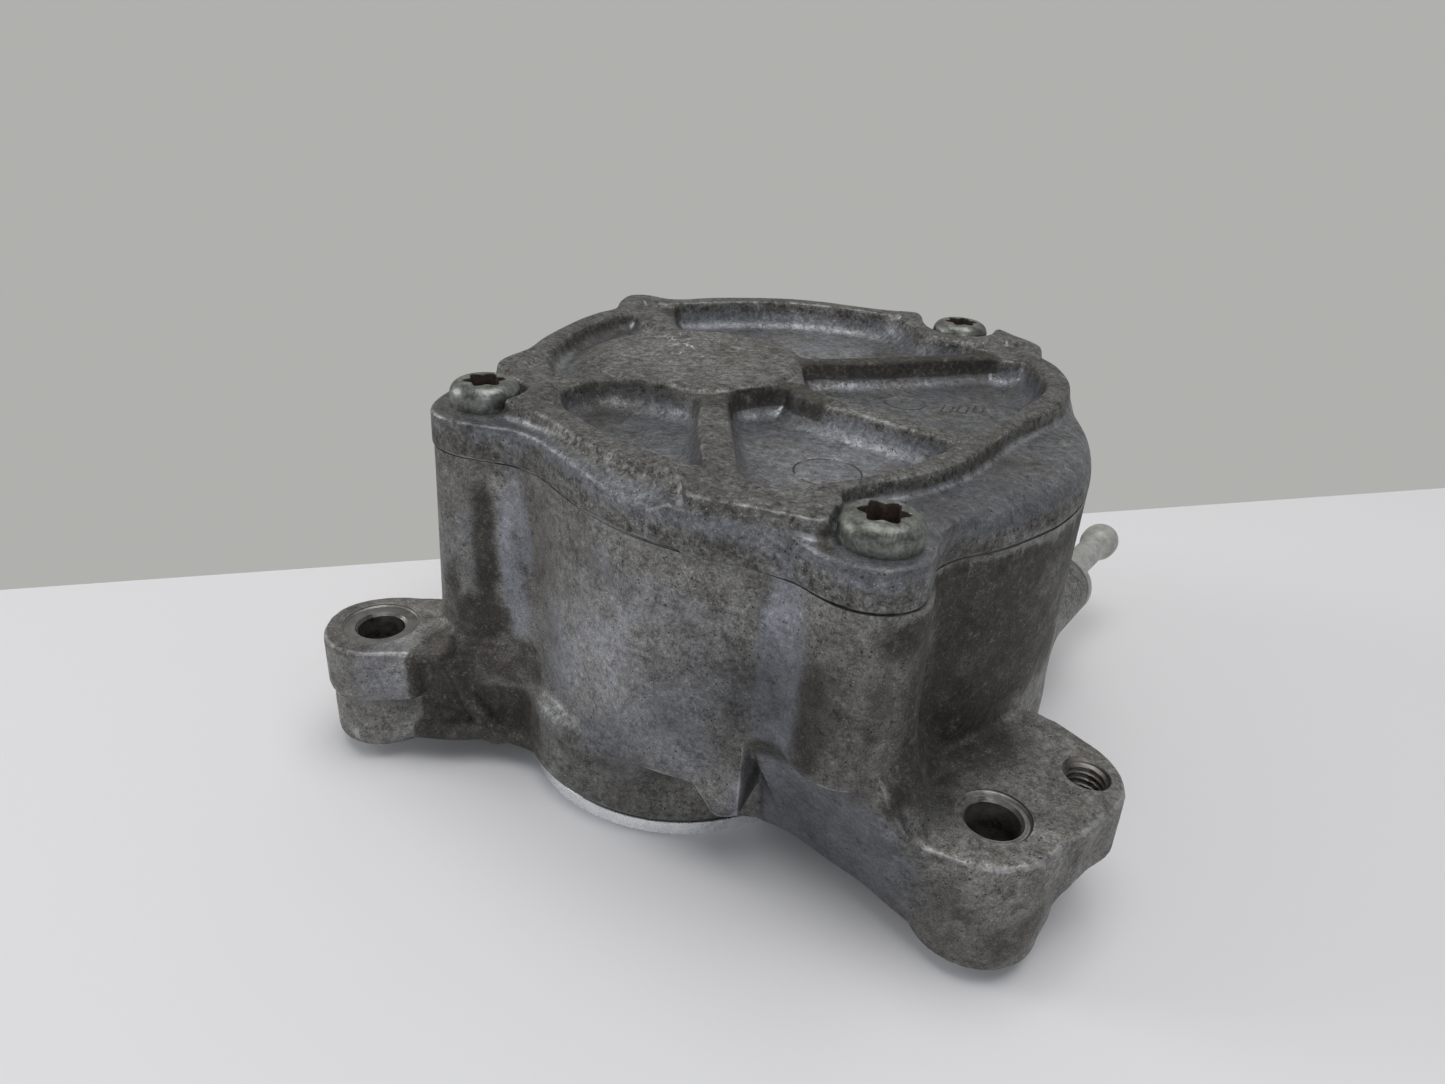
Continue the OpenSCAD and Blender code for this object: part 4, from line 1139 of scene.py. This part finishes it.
cuts = [
    cutter(prism("cut_top", [(-60, -50), (90, -50), (90, 95), (-60, 95)], JOINT_Z, 60), TURNED),
    cutter(lathe("cut_face", [(24.005, 0.5), (29.6, 0.5), (29.6, 4.0), (24.005, 4.0)], n=160, closed=True), TURNED),
    cutter(prism("cut_pads", [(-70, -50), (-29.4, -50), (-29.4, -5), (-70, -5)], -6, PAD_Z), TURNED),
    cutter(prism("cut_pads_r", [(30, -50), (90, -50), (90, 5), (30, 5)], -6, PAD_Z), TURNED),
]
housing_cuts = [
    cutter(prism("cut_chamber", nose_line(), FLOOR_Z, 60), BORE),
    cyl("cut_rotor", 18.05, -3, 18, n=192, mat=BORE),
    sector(142, 208, 18.4, 2.2, 14.5, 17, "cut_groove_a"),
    sector(-76, -10, 18.4, 2.2, 14.5, 17, "cut_groove_b"),
    cyl("cut_port", 2.7, BODY_Z - 1, 20, PORT_C, mat=BORE),
    prism("cut_reed", slot_line(*reed_at([(0, 0), (24, 0)]), 5.5), BODY_Z - 3, BODY_Z + 4.6),
    cyl("cut_clamp", 2.0, BODY_Z + 3.6, BODY_Z + 10.2, reed_at([(24, 0)])[0], mat=BORE),
    along_inlet("cut_in_a", [(0, -33), (5, -33), (5, -24.4), (5.5, -23.7), (5.5, -20), (0, -20)]),
    along_inlet("cut_in_b", [(0, -40), (4.2, -40), (4.2, -31), (0, -31)]),
    along_inlet("cut_in_c", [(0, -71), (3, -71), (3, -38), (0, -38)]),
]
for at, spot, depth in ((EAR_L, 5.4, 0.06), (EAR_R, 4.5, 0.14)):
    prof = [(0, EAR_Z - depth), (spot, EAR_Z - depth), (spot + 0.3, EAR_Z + 0.15), (spot + 0.3, EAR_Z + 3), (0, EAR_Z + 3)]
    housing_cuts.append(cutter(lathe("cut_spot", prof, (at[0], at[1], 0), None, 96), SPOT_L if at is EAR_L else SPOT_R))
    prof = [(0, 1), (4.6, 1), (4.1, PAD_Z), (3.5, PAD_Z + 0.6), (3.5, EAR_Z - depth - 0.5), (3.9, EAR_Z - depth + 0.02),
            (3.9, EAR_Z + 3), (0, EAR_Z + 3)]
    housing_cuts.append(lathe("cut_ear", prof, (at[0], at[1], 0), None, 96))
housing_cuts.append(thread_plug("cut_thread", TAP, 6.0, EAR_Z + 2.0, 2.5, 3.0, 1.0, EAR_Z))
for p in SCREWS:
    housing_cuts.append(cyl("cut_screw", 3.0, SEAT_Z - 22, JOINT_Z + 2, p, 48))
housing_cuts.append(ring_prism("cut_seal", offset(SEAL_MID, 0.7), offset(SEAL_MID, -0.7), JOINT_Z - 1.2, JOINT_Z + 2))
for c in housing_cuts:
    if not c.data.materials:
        set_mats(c, BORE)
    elif c.data.materials[0] is None:
        set_mats(c, BORE)
for c in housing_cuts:
    if c.name.startswith("cut_thread"):
        set_mats(c, THREAD)
for c in cuts + housing_cuts:
    boolean(housing, c, "DIFFERENCE")
    drop(c)
seam = ring_prism("cut_seam", offset(BODY, 8), offset(BODY, -0.32), JOINT_Z - 0.14, JOINT_Z + 1)
set_mats(seam, TURNED)
boolean(housing, seam, "DIFFERENCE")
drop(seam)

# cover
cover = cast_body("cover_casting", (-44, -34, 48.4), (57.5, 80, 58.6), HC, cover_field, N_C, CASTC)
cover_cuts = [cutter(prism("cut_base", [(-60, -50), (90, -50), (90, 95), (-60, 95)], 40, JOINT_Z + 0.005), TURNED)]
for p in SCREWS:
    cover_cuts.append(cyl("cut_hole", 3.25, JOINT_Z - 1, SEAT_Z + 5, p, 48, TURNED))
for c in cover_cuts:
    boolean(cover, c, "DIFFERENCE")
    drop(c)

# screws: rounded pan heads with a six-lobe recess
parts = []
for i, p in enumerate(SCREWS):
    head = lathe("screw%d" % i, [(0, -20), (2.2, -20), (2.95, -19.2), (2.95, -0.3), (3.15, 0), (4.72, 0.0), (4.95, 0.15), (5.0, 0.45), (5.0, 1.75),
                 (4.97, 2.1), (4.87, 2.45), (4.70, 2.78), (4.46, 3.08), (4.16, 3.33), (3.82, 3.51), (3.46, 3.62), (3.2, 3.65), (0, 3.65)], n=96)
    set_mats(head, ZINC)
    lobes = [((2.56 + 0.42 * math.cos(6 * a)) * math.cos(a), (2.56 + 0.42 * math.cos(6 * a)) * math.sin(a))
             for a in np.radians(np.arange(0, 360, 3))]
    wide = [(1.06 * x, 1.06 * y) for x, y in lobes]
    n = len(lobes)
    V = [(x * 0.98, y * 0.98, 1.25) for x, y in lobes] + [(x, y, 3.48) for x, y in lobes] + [(x, y, 3.72) for x, y in wide]
    F = [tuple(range(n))[::-1], tuple(range(2 * n, 3 * n))]
    for k in (0, 1):
        F += [(k * n + a, k * n + (a + 1) % n, (k + 1) * n + (a + 1) % n, (k + 1) * n + a) for a in range(n)]
    soc = make_mesh("lobe_cut", V, F)
    fix_normals(soc)
    set_mats(soc, ZINC)
    boolean(head, soc, "DIFFERENCE")
    drop(soc)
    head.data.transform(Matrix.Translation((p[0] * MM, p[1] * MM, SEAT_Z * MM)) @ Matrix.Rotation(math.radians([12, 41, 25][i]), 4, "Z"))
    parts.append(head)
bpy.ops.object.select_all(action="DESELECT")
for o in parts:
    o.select_set(True)
bpy.context.view_layer.objects.active = parts[0]
bpy.ops.object.join()
screws = parts[0]
screws.name = "cover_screws_fine"

# nipple
nipple = along_inlet("inlet_nipple_fine", [(1.5, -32.9), (4.6, -32.9), (4.95, -32.5), (4.95, -31.1), (4.05, -31.1), (4.05, -29), (4.95, -29),
    (4.95, -24), (6.15, -24), (6.3, -23.85), (6.3, -22.8), (5.9, -22.4), (3.6, -22.4), (3.0, -22.05), (2.62, -21.4), (2.5, -20.6),
    (2.5, -4.4), (2.6, -3.6), (2.9, -2.9), (3.22, -2.2), (3.42, -1.4), (3.5, -0.4), (3.48, 0.6), (3.36, 1.4), (3.12, 2.1), (2.75, 2.7),
    (2.3, 3.06), (1.95, 3.2), (1.62, 3.1), (1.5, 2.85)], 128, True)


# ---------------------------------------------------------------- wear, dirt, painted light and shade, held in the vertices
def coords(o):
    co = np.empty(len(o.data.vertices) * 3, F32)
    o.data.vertices.foreach_get("co", co)
    return co.reshape(-1, 3) / MM


def put_attr(o, name, values):
    a = o.data.attributes.get(name) or o.data.attributes.new(name, "FLOAT", "POINT")
    a.data.foreach_set("value", np.asarray(values, F32))


HW = 0.8
gw = Grid((-62, -44, -8), (78, 90, 68), HW)
fh = np.maximum(housing_field(gw), (gw.z - JOINT_Z)[None, None, :])
fc = np.maximum(cover_field(gw), (JOINT_Z - gw.z)[None, None, :])
both = np.minimum(fh, fc)
for cx, cy in SCREWS:
    s, x, y, z = gw.block((cx - 7, cy - 7, SEAT_Z - 2), (cx + 7, cy + 7, SEAT_Z + 6))
    both[s] = np.minimum(both[s], np.maximum(np.hypot(x - cx, y - cy) - 5.0, np.abs(z - SEAT_Z - 1.5) - 2.1))
both = np.minimum(both, np.maximum(np.hypot(gw.X, gw.Y)[:, :, None] - 24, np.abs(gw.z - 3)[None, None, :] - 3))
occ = np.clip(0.5 - both / HW, 0, 1).astype(F32)
occ_s = blur(occ, max(1, int(round(1.0 / HW))), 3)
occ_l = blur(occ, max(2, int(round(3.4 / HW))), 3)


def cone(P, at, r, k=1.0, squash=(1, 1, 1)):
    """Soft blob of strength k round a point."""
    d = np.sqrt((((P - np.array(at)) * np.array(squash)) ** 2).sum(1))
    return k * (1 - ramp01(d, 0.35 * r, r))


# darker zones, given one by one: partly real grime, partly painted shade and shadow under overhangs and on faces turned
# from the light
def grime_and_shade_of(P):
    x, y, z = P.T
    g = np.zeros(len(P))

    def add(v):
        np.maximum(g, v, out=g)

    # pad at the left screw boss's foot, and the web beside the left ear's boss
    add(cone(P, (-21.5, -16.6, 18), 10, 0.80, (0.75, 1.3, 1.6)))
    add(cone(P, (-27, -20.5, 13), 10, 0.70, (0.9, 1, 0.9)))
    add(cone(P, (-14, -18, 9), 9, 0.6))
    add(cone(P, (-26, -15.5, 24), 8, 1.0, (1, 1, 1.3)))
    add(ramp01(-x, 24, 26) * (y < -13) * (1 - ramp01(z, 20, 23)) * ramp01(x, -34.5, -33.5) * 0.85)
    add(cone(P, (-41, -21, 9), 12, 0.5, (1, 1, 0.8)))
    # the right wall and the corner above the right ear: grime with painted shade, on the side turned from the light
    add(ramp01(x, 37.5, 41) * ramp01(48.6 - z, 0, 3) * ramp01(z, 20, 25) * (0.95 - 0.35 * ramp01(y, -4, 18) - 0.45 * ramp01(y, 18, 48)))
    # the left boss's right flank, a band of painted shade, and the front boss's left one
    add(np.exp(-((x + 25.2) / 2.3) ** 2) * (y < -12) * ramp01(z, 17, 22) * ramp01(49 - z, 0, 6) * 1.0)
    add(np.exp(-((x + 31.5) / 2.6) ** 2) * (y < -12) * ramp01(z, 20, 24) * (1 - ramp01(z, 30, 47)) * 0.5)
    add(np.exp(-((x - 29.2) / 2.4) ** 2) * (y < -25) * ramp01(z, 24.5, 27) * (1 - ramp01(z, 35, 45)) * 0.80)
    # just under the cover's flange, on the right: painted shadow of the flange
    add(ramp01(x, 34, 38) * ramp01(48.8 - z, 0, 0.6) * ramp01(z, 40, 46.5) * (0.95 - 0.5 * ramp01(y, 5, 40)))
    # painted shade on the front boss's right flank, the side turned from the light
    add(np.exp(-((x - 36.5) / 2.4) ** 2) * (y < -20) * ramp01(z, 22, 26) * (1 - ramp01(z, 38, 46)) * 0.5)
    add(ramp01(-x, 24, 26) * (y < -12) * np.exp(-((z - 22) / 3.0) ** 2) * 0.7)
    add(ramp01(x, -29, -27) * (1 - ramp01(x, -17, -14)) * (y < -14) * (1 - ramp01(z, 13.5, 16)) * 0.8)
    add(ramp01(x, -34, -32) * (1 - ramp01(x, -29, -27)) * (y < -17) * (1 - ramp01(z, 17.5, 19)) * 0.95)
    add(cone(P, (47, -29, 8), 13, 0.42, (1, 1, 1.2)))
    add(cone(P, (56, -27, 7), 10, 0.5))
    add(cone(P, (40.5, -17, 27), 13, 0.85, (1, 1, 0.6)))
    add(cone(P, (46, -7, 21), 12, 0.85))
    add(cone(P, (38.6, -25.5, 30), 7, 0.6))
    # under the joint, a painted shadow of the cover's flange, and round the seats
    add(np.exp(-((z - 48.4) / 0.9) ** 2) * 0.30)
    # recess under the front boss, lip and the collar's root: grime with painted shade under the overhangs
    add(cone(P, (24.5, -26.5, 24.6), 4.5, 0.85))
    add(cone(P, (31, -28, 24.2), 5.0, 0.6, (0.6, 1, 1.3)))
    add(cone(P, (21.5, -24, 12), 5.5, 0.6, (1, 1, 0.5)))
    add(np.exp(-((z - 12.6) / 1.6) ** 2) * (y < -14) * (np.abs(x - 2) < 22) * 0.5)
    # band left of the valley, on the front wall
    add(cone(P, (-15.5, -16.8, 34), 14, 0.40, (1.5, 1, 0.5)))
    # cover: corners of the pockets, along the seats and the hollow by the hub
    for px, py, r, k in ((-16, 1, 7, 0.55), (4, -13, 6, 0.55), (30, 3, 8, 0.5), (12, 16, 6, 0.5), (34, 47, 9, 0.5), (40, 20, 7, 0.55),
                         (-22, 50, 8, 0.5), (14, 58, 7, 0.5), (-29, 20, 8, 0.35), (28, -16, 5, 0.7)):
        add(cone(P, (px, py, 53.2), r, k, (1, 1, 1.2)))
    for cx, cy in SCREWS:
        d = np.hypot(x - cx, y - cy)
        add(np.exp(-((d - 6.6) / 0.9) ** 2) * (np.abs(z - SEAT_Z) < 1.5) * 0.6)
    add(cone(P, (44, 6, 55), 14, 0.40))
    add(cone(P, (40, -10, 54), 10, 0.55))
    # upper part of the pockets' walls that face the front, beside the hub: painted shade, the dark reflection these
    # steep walls would show
    wall = ramp01(z, 53.4, 54.2) * ramp01(56.9 - z, 0.0, 0.5)
    for (ax, ay), (bx, by), k in (((2, 9), (8, 18), 1.1), ((7, 32), (31, 53.5), 1.05), ((-34, 14), (-31, 42), 0.6), ((-20, 5.5), (-2, 6), 0.55),
                                  ((-27, 50), (-16, 40), 0.7), ((10, 16.5), (12, 14.5), 0.9)):
        dx, dy = bx - ax, by - ay
        t = np.clip(((x - ax) * dx + (y - ay) * dy) / (dx * dx + dy * dy), 0, 1)
        d = np.hypot(x - ax - dx * t, y - ay - dy * t)
        add(wall * k * (1 - ramp01(d, 2.0, 4.5)))
    return g


def painted_light_shade_of(P):
    """Painted light and shade: broad lighter and darker zones, as a factor on the colour."""
    x, y, z = P.T
    t = np.ones(len(P))
    for at, r, k in (((-8, -22, 30), 15, 0.45), ((15, -27, 30), 13, -0.40), ((35, -25, 13), 18, -0.50), ((0, -25, 8), 17, -0.34),
                     ((-10, 24, 57), 20, 0.40), ((20, 2, 52.4), 15, 0.72), ((0, 57, 52.4), 16, 0.50), ((-38, -17, 20), 13, 0.62), ((26.5, -30, 34), 12, -0.52),
                     ((5, -26, 34), 13, 0.22), ((-20, -16.5, 20), 8, 0.35), ((52, -14, 20), 14, -0.10), ((24, 36, 52.4), 12, 0.06),
                     ((44, 35, 57), 12, -0.15), ((-6, -4, 52.4), 9, 0.05), ((46, -29, 10), 10, 0.04)):
        t += cone(P, at, r, k)
    return np.clip(t, 0.4, 2.0)


def clean_and_sheen_of(P):
    """Smooth faces where the die's skin has stayed, painted bluish and lighter as a sheen of reflected light."""
    x, y, z = P.T
    c = np.zeros(len(P))

    def add(v):
        np.maximum(c, v, out=c)

    add(cone(P, (24.5, -26.8, 37), 12, 0.9, (2.4, 1, 0.55)))
    add(cone(P, (-20.3, -15.6, 36), 12, 0.8, (2.6, 1, 0.55)))
    add(cone(P, (32, -24, 14), 16, 0.85, (0.75, 1, 1)))
    add(cone(P, (2, -25, 28), 24, 0.45, (0.8, 1, 0.9)))
    add(cone(P, (-37, -24, 16), 10, 0.5))
    add(cone(P, (-29.3, -16, 34), 12, 0.35))
    add(cone(P, (6, 27, 53.5), 5, 0.5))
    add(ramp01(56.4 - z, 0.2, 1.4) * ramp01(z, 51.4, 52.6) * 0.55)
    return c


for o in (housing, cover):
    P = coords(o)
    n = np.empty(len(P) * 3, F32)
    o.data.vertices.foreach_get("normal", n)
    n = n.reshape(-1, 3)
    put_attr(o, "cavity_small", sample(occ_s, gw.low, HW, P))
    put_attr(o, "cavity_fine", sample(*FINE[o.name], P))
    put_attr(o, "cavity_large", sample(occ_l, gw.low, HW, P + n * 1.2))
    put_attr(o, "grime_and_shade", grime_and_shade_of(P))
    put_attr(o, "clean_and_sheen", clean_and_sheen_of(P))
    put_attr(o, "painted_light_shade", painted_light_shade_of(P))
    set_smooth(o, 34)
P = coords(screws)
soc = np.zeros(len(P))
for cx, cy in SCREWS:
    d = np.hypot(P[:, 0] - cx, P[:, 1] - cy)
    soc = np.maximum(soc, (1 - ramp01(P[:, 2], SEAT_Z + 3.45, SEAT_Z + 3.68)) * (d < 3.1) * (P[:, 2] > SEAT_Z + 0.9))
put_attr(screws, "socket", soc)
set_smooth(screws, 40)
set_smooth(nipple, 40)
set_mats(nipple, BEAD)

for o, node, body, slot_name in ((housing, "pump_housing", "housing", "cast_housing"), (cover, "cover", "housing", "cast_cover"),
                                 (screws, "cover_screws", "housing", "screw_zinc"), (nipple, "inlet_nipple", "housing", "nipple_grey")):
    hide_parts(node)
    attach(o, body)

# inner pieces: the CAD's own shapes with broken edges
BODIES = frame["record"]["behaviour"]["bodies"]
body_for = {n: b for b, ns in BODIES.items() for n in ns}
for node, width, mat, slot_name in (
        ("rotor", 0.25, ROTOR, "rotor_steel"), ("vane", 0.12, VANE, "vane_composite"),
        ("vane_tip_a", 0.08, TIP, "tip_carbon"), ("vane_tip_b", 0.08, TIP, "tip_carbon"),
        ("vane_guide_pin", 0.15, PIN, "pin_steel"), ("drive_coupling", 0.25, COUPLING, "coupling_steel"),
        ("coupling_clip", 0.10, SPRING, "spring_steel"), ("oil_feed_tube", 0.12, TUBE, "tube_metal"),
        ("oil_strainer", 0.04, BRASS, "strainer_brass"), ("reed_stop", 0.10, STOP, "stop_steel"),
        ("reed_screw", 0.15, SMALL, "small_screw"), ("check_valve_disc", 0.15, VALVE, "valve_rubber")):
    o = bevelled(node, width)
    set_mats(o, mat)
    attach(o, body_for[node])

for node, mat in (("cover_seal", RUBBER), ("oil_tube_o_ring", RUBBER), ("spigot_o_ring", RUBBER), ("nipple_o_ring", RUBBER),
                  ("outlet_reed", REED), ("reed_root", REED)):
    o = frame["nodes"][node]
    if len(o.material_slots) == 0:
        o.data.materials.append(mat)
    for s in o.material_slots:
        s.material = mat

# the check valve's spring as a wound wire: a wide seat coil, then the body
SPRING_S, SPRING_L, WIRE_R = -39.95, 5.8, 0.27
t = np.linspace(0, 1, 420)
turn = 2 * math.pi * 6.6 * t
rise_s = WIRE_R + (SPRING_L - 2 * WIRE_R) * (0.10 * ramp01(t, 0, 0.18) + 0.80 * ramp01(t, 0.12, 0.88) + 0.10 * ramp01(t, 0.82, 1))
wide = 2.13 + 1.25 * (1 - ramp01(t, 0.13, 0.26))
ca, sa = math.cos(math.radians(INLET_DIR)), math.sin(math.radians(INLET_DIR))
EA, EB, EC = np.array([ca, sa, 0.0]), np.array([-sa, ca, 0.0]), np.array([0.0, 0.0, 1.0])
mid_line = (np.array([BEAD_C[0], BEAD_C[1], INLET_Z]) + EA * (SPRING_S + rise_s)[:, None]
            + EB * (wide * np.cos(turn))[:, None] + EC * (wide * np.sin(turn))[:, None])
tan = np.gradient(mid_line, axis=0)
tan /= np.linalg.norm(tan, axis=1)[:, None]
out_n = EB * np.cos(turn)[:, None] + EC * np.sin(turn)[:, None]
out_n -= tan * np.sum(out_n * tan, 1)[:, None]
out_n /= np.linalg.norm(out_n, axis=1)[:, None]
side_n = np.cross(tan, out_n)
K = 12
ring = np.linspace(0, 2 * math.pi, K, endpoint=False)
V = (mid_line[:, None] + WIRE_R * (out_n[:, None] * np.cos(ring)[None, :, None] + side_n[:, None] * np.sin(ring)[None, :, None])).reshape(-1, 3)
F = [(i * K + j, i * K + (j + 1) % K, (i + 1) * K + (j + 1) % K, (i + 1) * K + j) for i in range(len(t) - 1) for j in range(K)]
F += [tuple(range(K - 1, -1, -1)), tuple((len(t) - 1) * K + j for j in range(K))]
coil = make_mesh("check_valve_spring_fine", V, F)
fix_normals(coil)
set_mats(coil, WIRE)
set_smooth(coil, 40)
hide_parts("check_valve_spring")
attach(coil, "housing")
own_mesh(coil)

# ---------------------------------------------------------------- table, light and camera
far = [(-136.436, -20.844), (148.901, 201.715)]
fdir = np.array(far[1]) - np.array(far[0])
fdir /= np.linalg.norm(fdir)
fnor = np.array([-fdir[1], fdir[0]])
mid = (np.array(far[0]) + np.array(far[1])) / 2
c4 = [mid + fdir * 1500, mid - fdir * 1500, mid - fdir * 1500 - fnor * 2500, mid + fdir * 1500 - fnor * 2500]
table = make_mesh("table", [(x, y, 0) for x, y in c4], [(0, 1, 2, 3)])
tm = Net(new_mat("table_grey"))
tm.end((226, 226, 229), 0.5)
set_mats(table, tm.m)

world = bpy.data.worlds.new("studio")
bpy.context.scene.world = world
world.use_nodes = True
wt = world.node_tree
bg = wt.nodes["Background"]
tc = wt.nodes.new("ShaderNodeTexCoord")
dot = wt.nodes.new("ShaderNodeVectorMath")
dot.operation = "DOT_PRODUCT"
dot.inputs[1].default_value = (fnor[0], fnor[1], 0)
wt.links.new(tc.outputs["Generated"], dot.inputs[0])
rise = wt.nodes.new("ShaderNodeMapRange")
rise.interpolation_type = "SMOOTHSTEP"
rise.inputs["From Min"].default_value, rise.inputs["From Max"].default_value = -0.05, 0.30
wt.links.new(dot.outputs["Value"], rise.inputs["Value"])
wm = wt.nodes.new("ShaderNodeMix")
wm.data_type = "RGBA"
wm.inputs[6].default_value = (0.254, 0.260, 0.270, 1)
wm.inputs[7].default_value = (0.435, 0.435, 0.420, 1)
wt.links.new(rise.outputs[0], wm.inputs[0])
wt.links.new(wm.outputs[2], bg.inputs[0])
bg.inputs[1].default_value = 1.0


def area(name, at, to, size, power, color=(1, 1, 1)):
    L = bpy.data.lights.new(name, "AREA")
    L.shape = "RECTANGLE"
    L.size, L.size_y = size
    L.energy = power
    L.color = color
    o = bpy.data.objects.new(name, L)
    bpy.context.scene.collection.objects.link(o)
    o.location = at
    o.rotation_euler = (Vector(to) - Vector(at)).to_track_quat("-Z", "Y").to_euler()
    return o


area("overhead", (0.10, -0.04, 1.0), (0, 0.02, 0.03), (0.80, 0.72), 5.7, (1.0, 0.99, 0.97))
area("front", (0.5, -1.0, 0.55), (0, 0, 0.03), (0.5, 0.35), 1.75, (0.96, 0.98, 1.0))
area("left", (-0.9, -0.25, 0.40), (0, 0, 0.03), (0.35, 0.5), 2.4)


def camera():
    p, r, turn = math.radians(27.3117), math.radians(3.7314), math.radians(21.3)
    right, up, fwd = np.array([1, 0, 0.0]), np.array([0, math.sin(p), math.cos(p)]), np.array([0, math.cos(p), -math.sin(p)])
    r2 = math.cos(r) * right + math.sin(r) * up
    u2 = -math.sin(r) * right + math.cos(r) * up
    R = np.array([[math.cos(turn), -math.sin(turn), 0], [math.sin(turn), math.cos(turn), 0], [0, 0, 1]])
    M = np.eye(4)
    M[:3, 0], M[:3, 1], M[:3, 2] = R @ r2, R @ u2, R @ -fwd
    M[:3, 3] = np.array([52.25, -120.24, 104.0]) * MM
    data = bpy.data.cameras.new("camera")
    data.sensor_width, data.lens, data.clip_start, data.clip_end = 36, 24.44, 0.005, 20
    o = bpy.data.objects.new("camera", data)
    bpy.context.scene.collection.objects.link(o)
    o.matrix_world = Matrix(M.tolist())
    bpy.context.scene.camera = o


camera()
bpy.context.scene.view_settings.view_transform = "Standard"
bpy.context.view_layer.update()
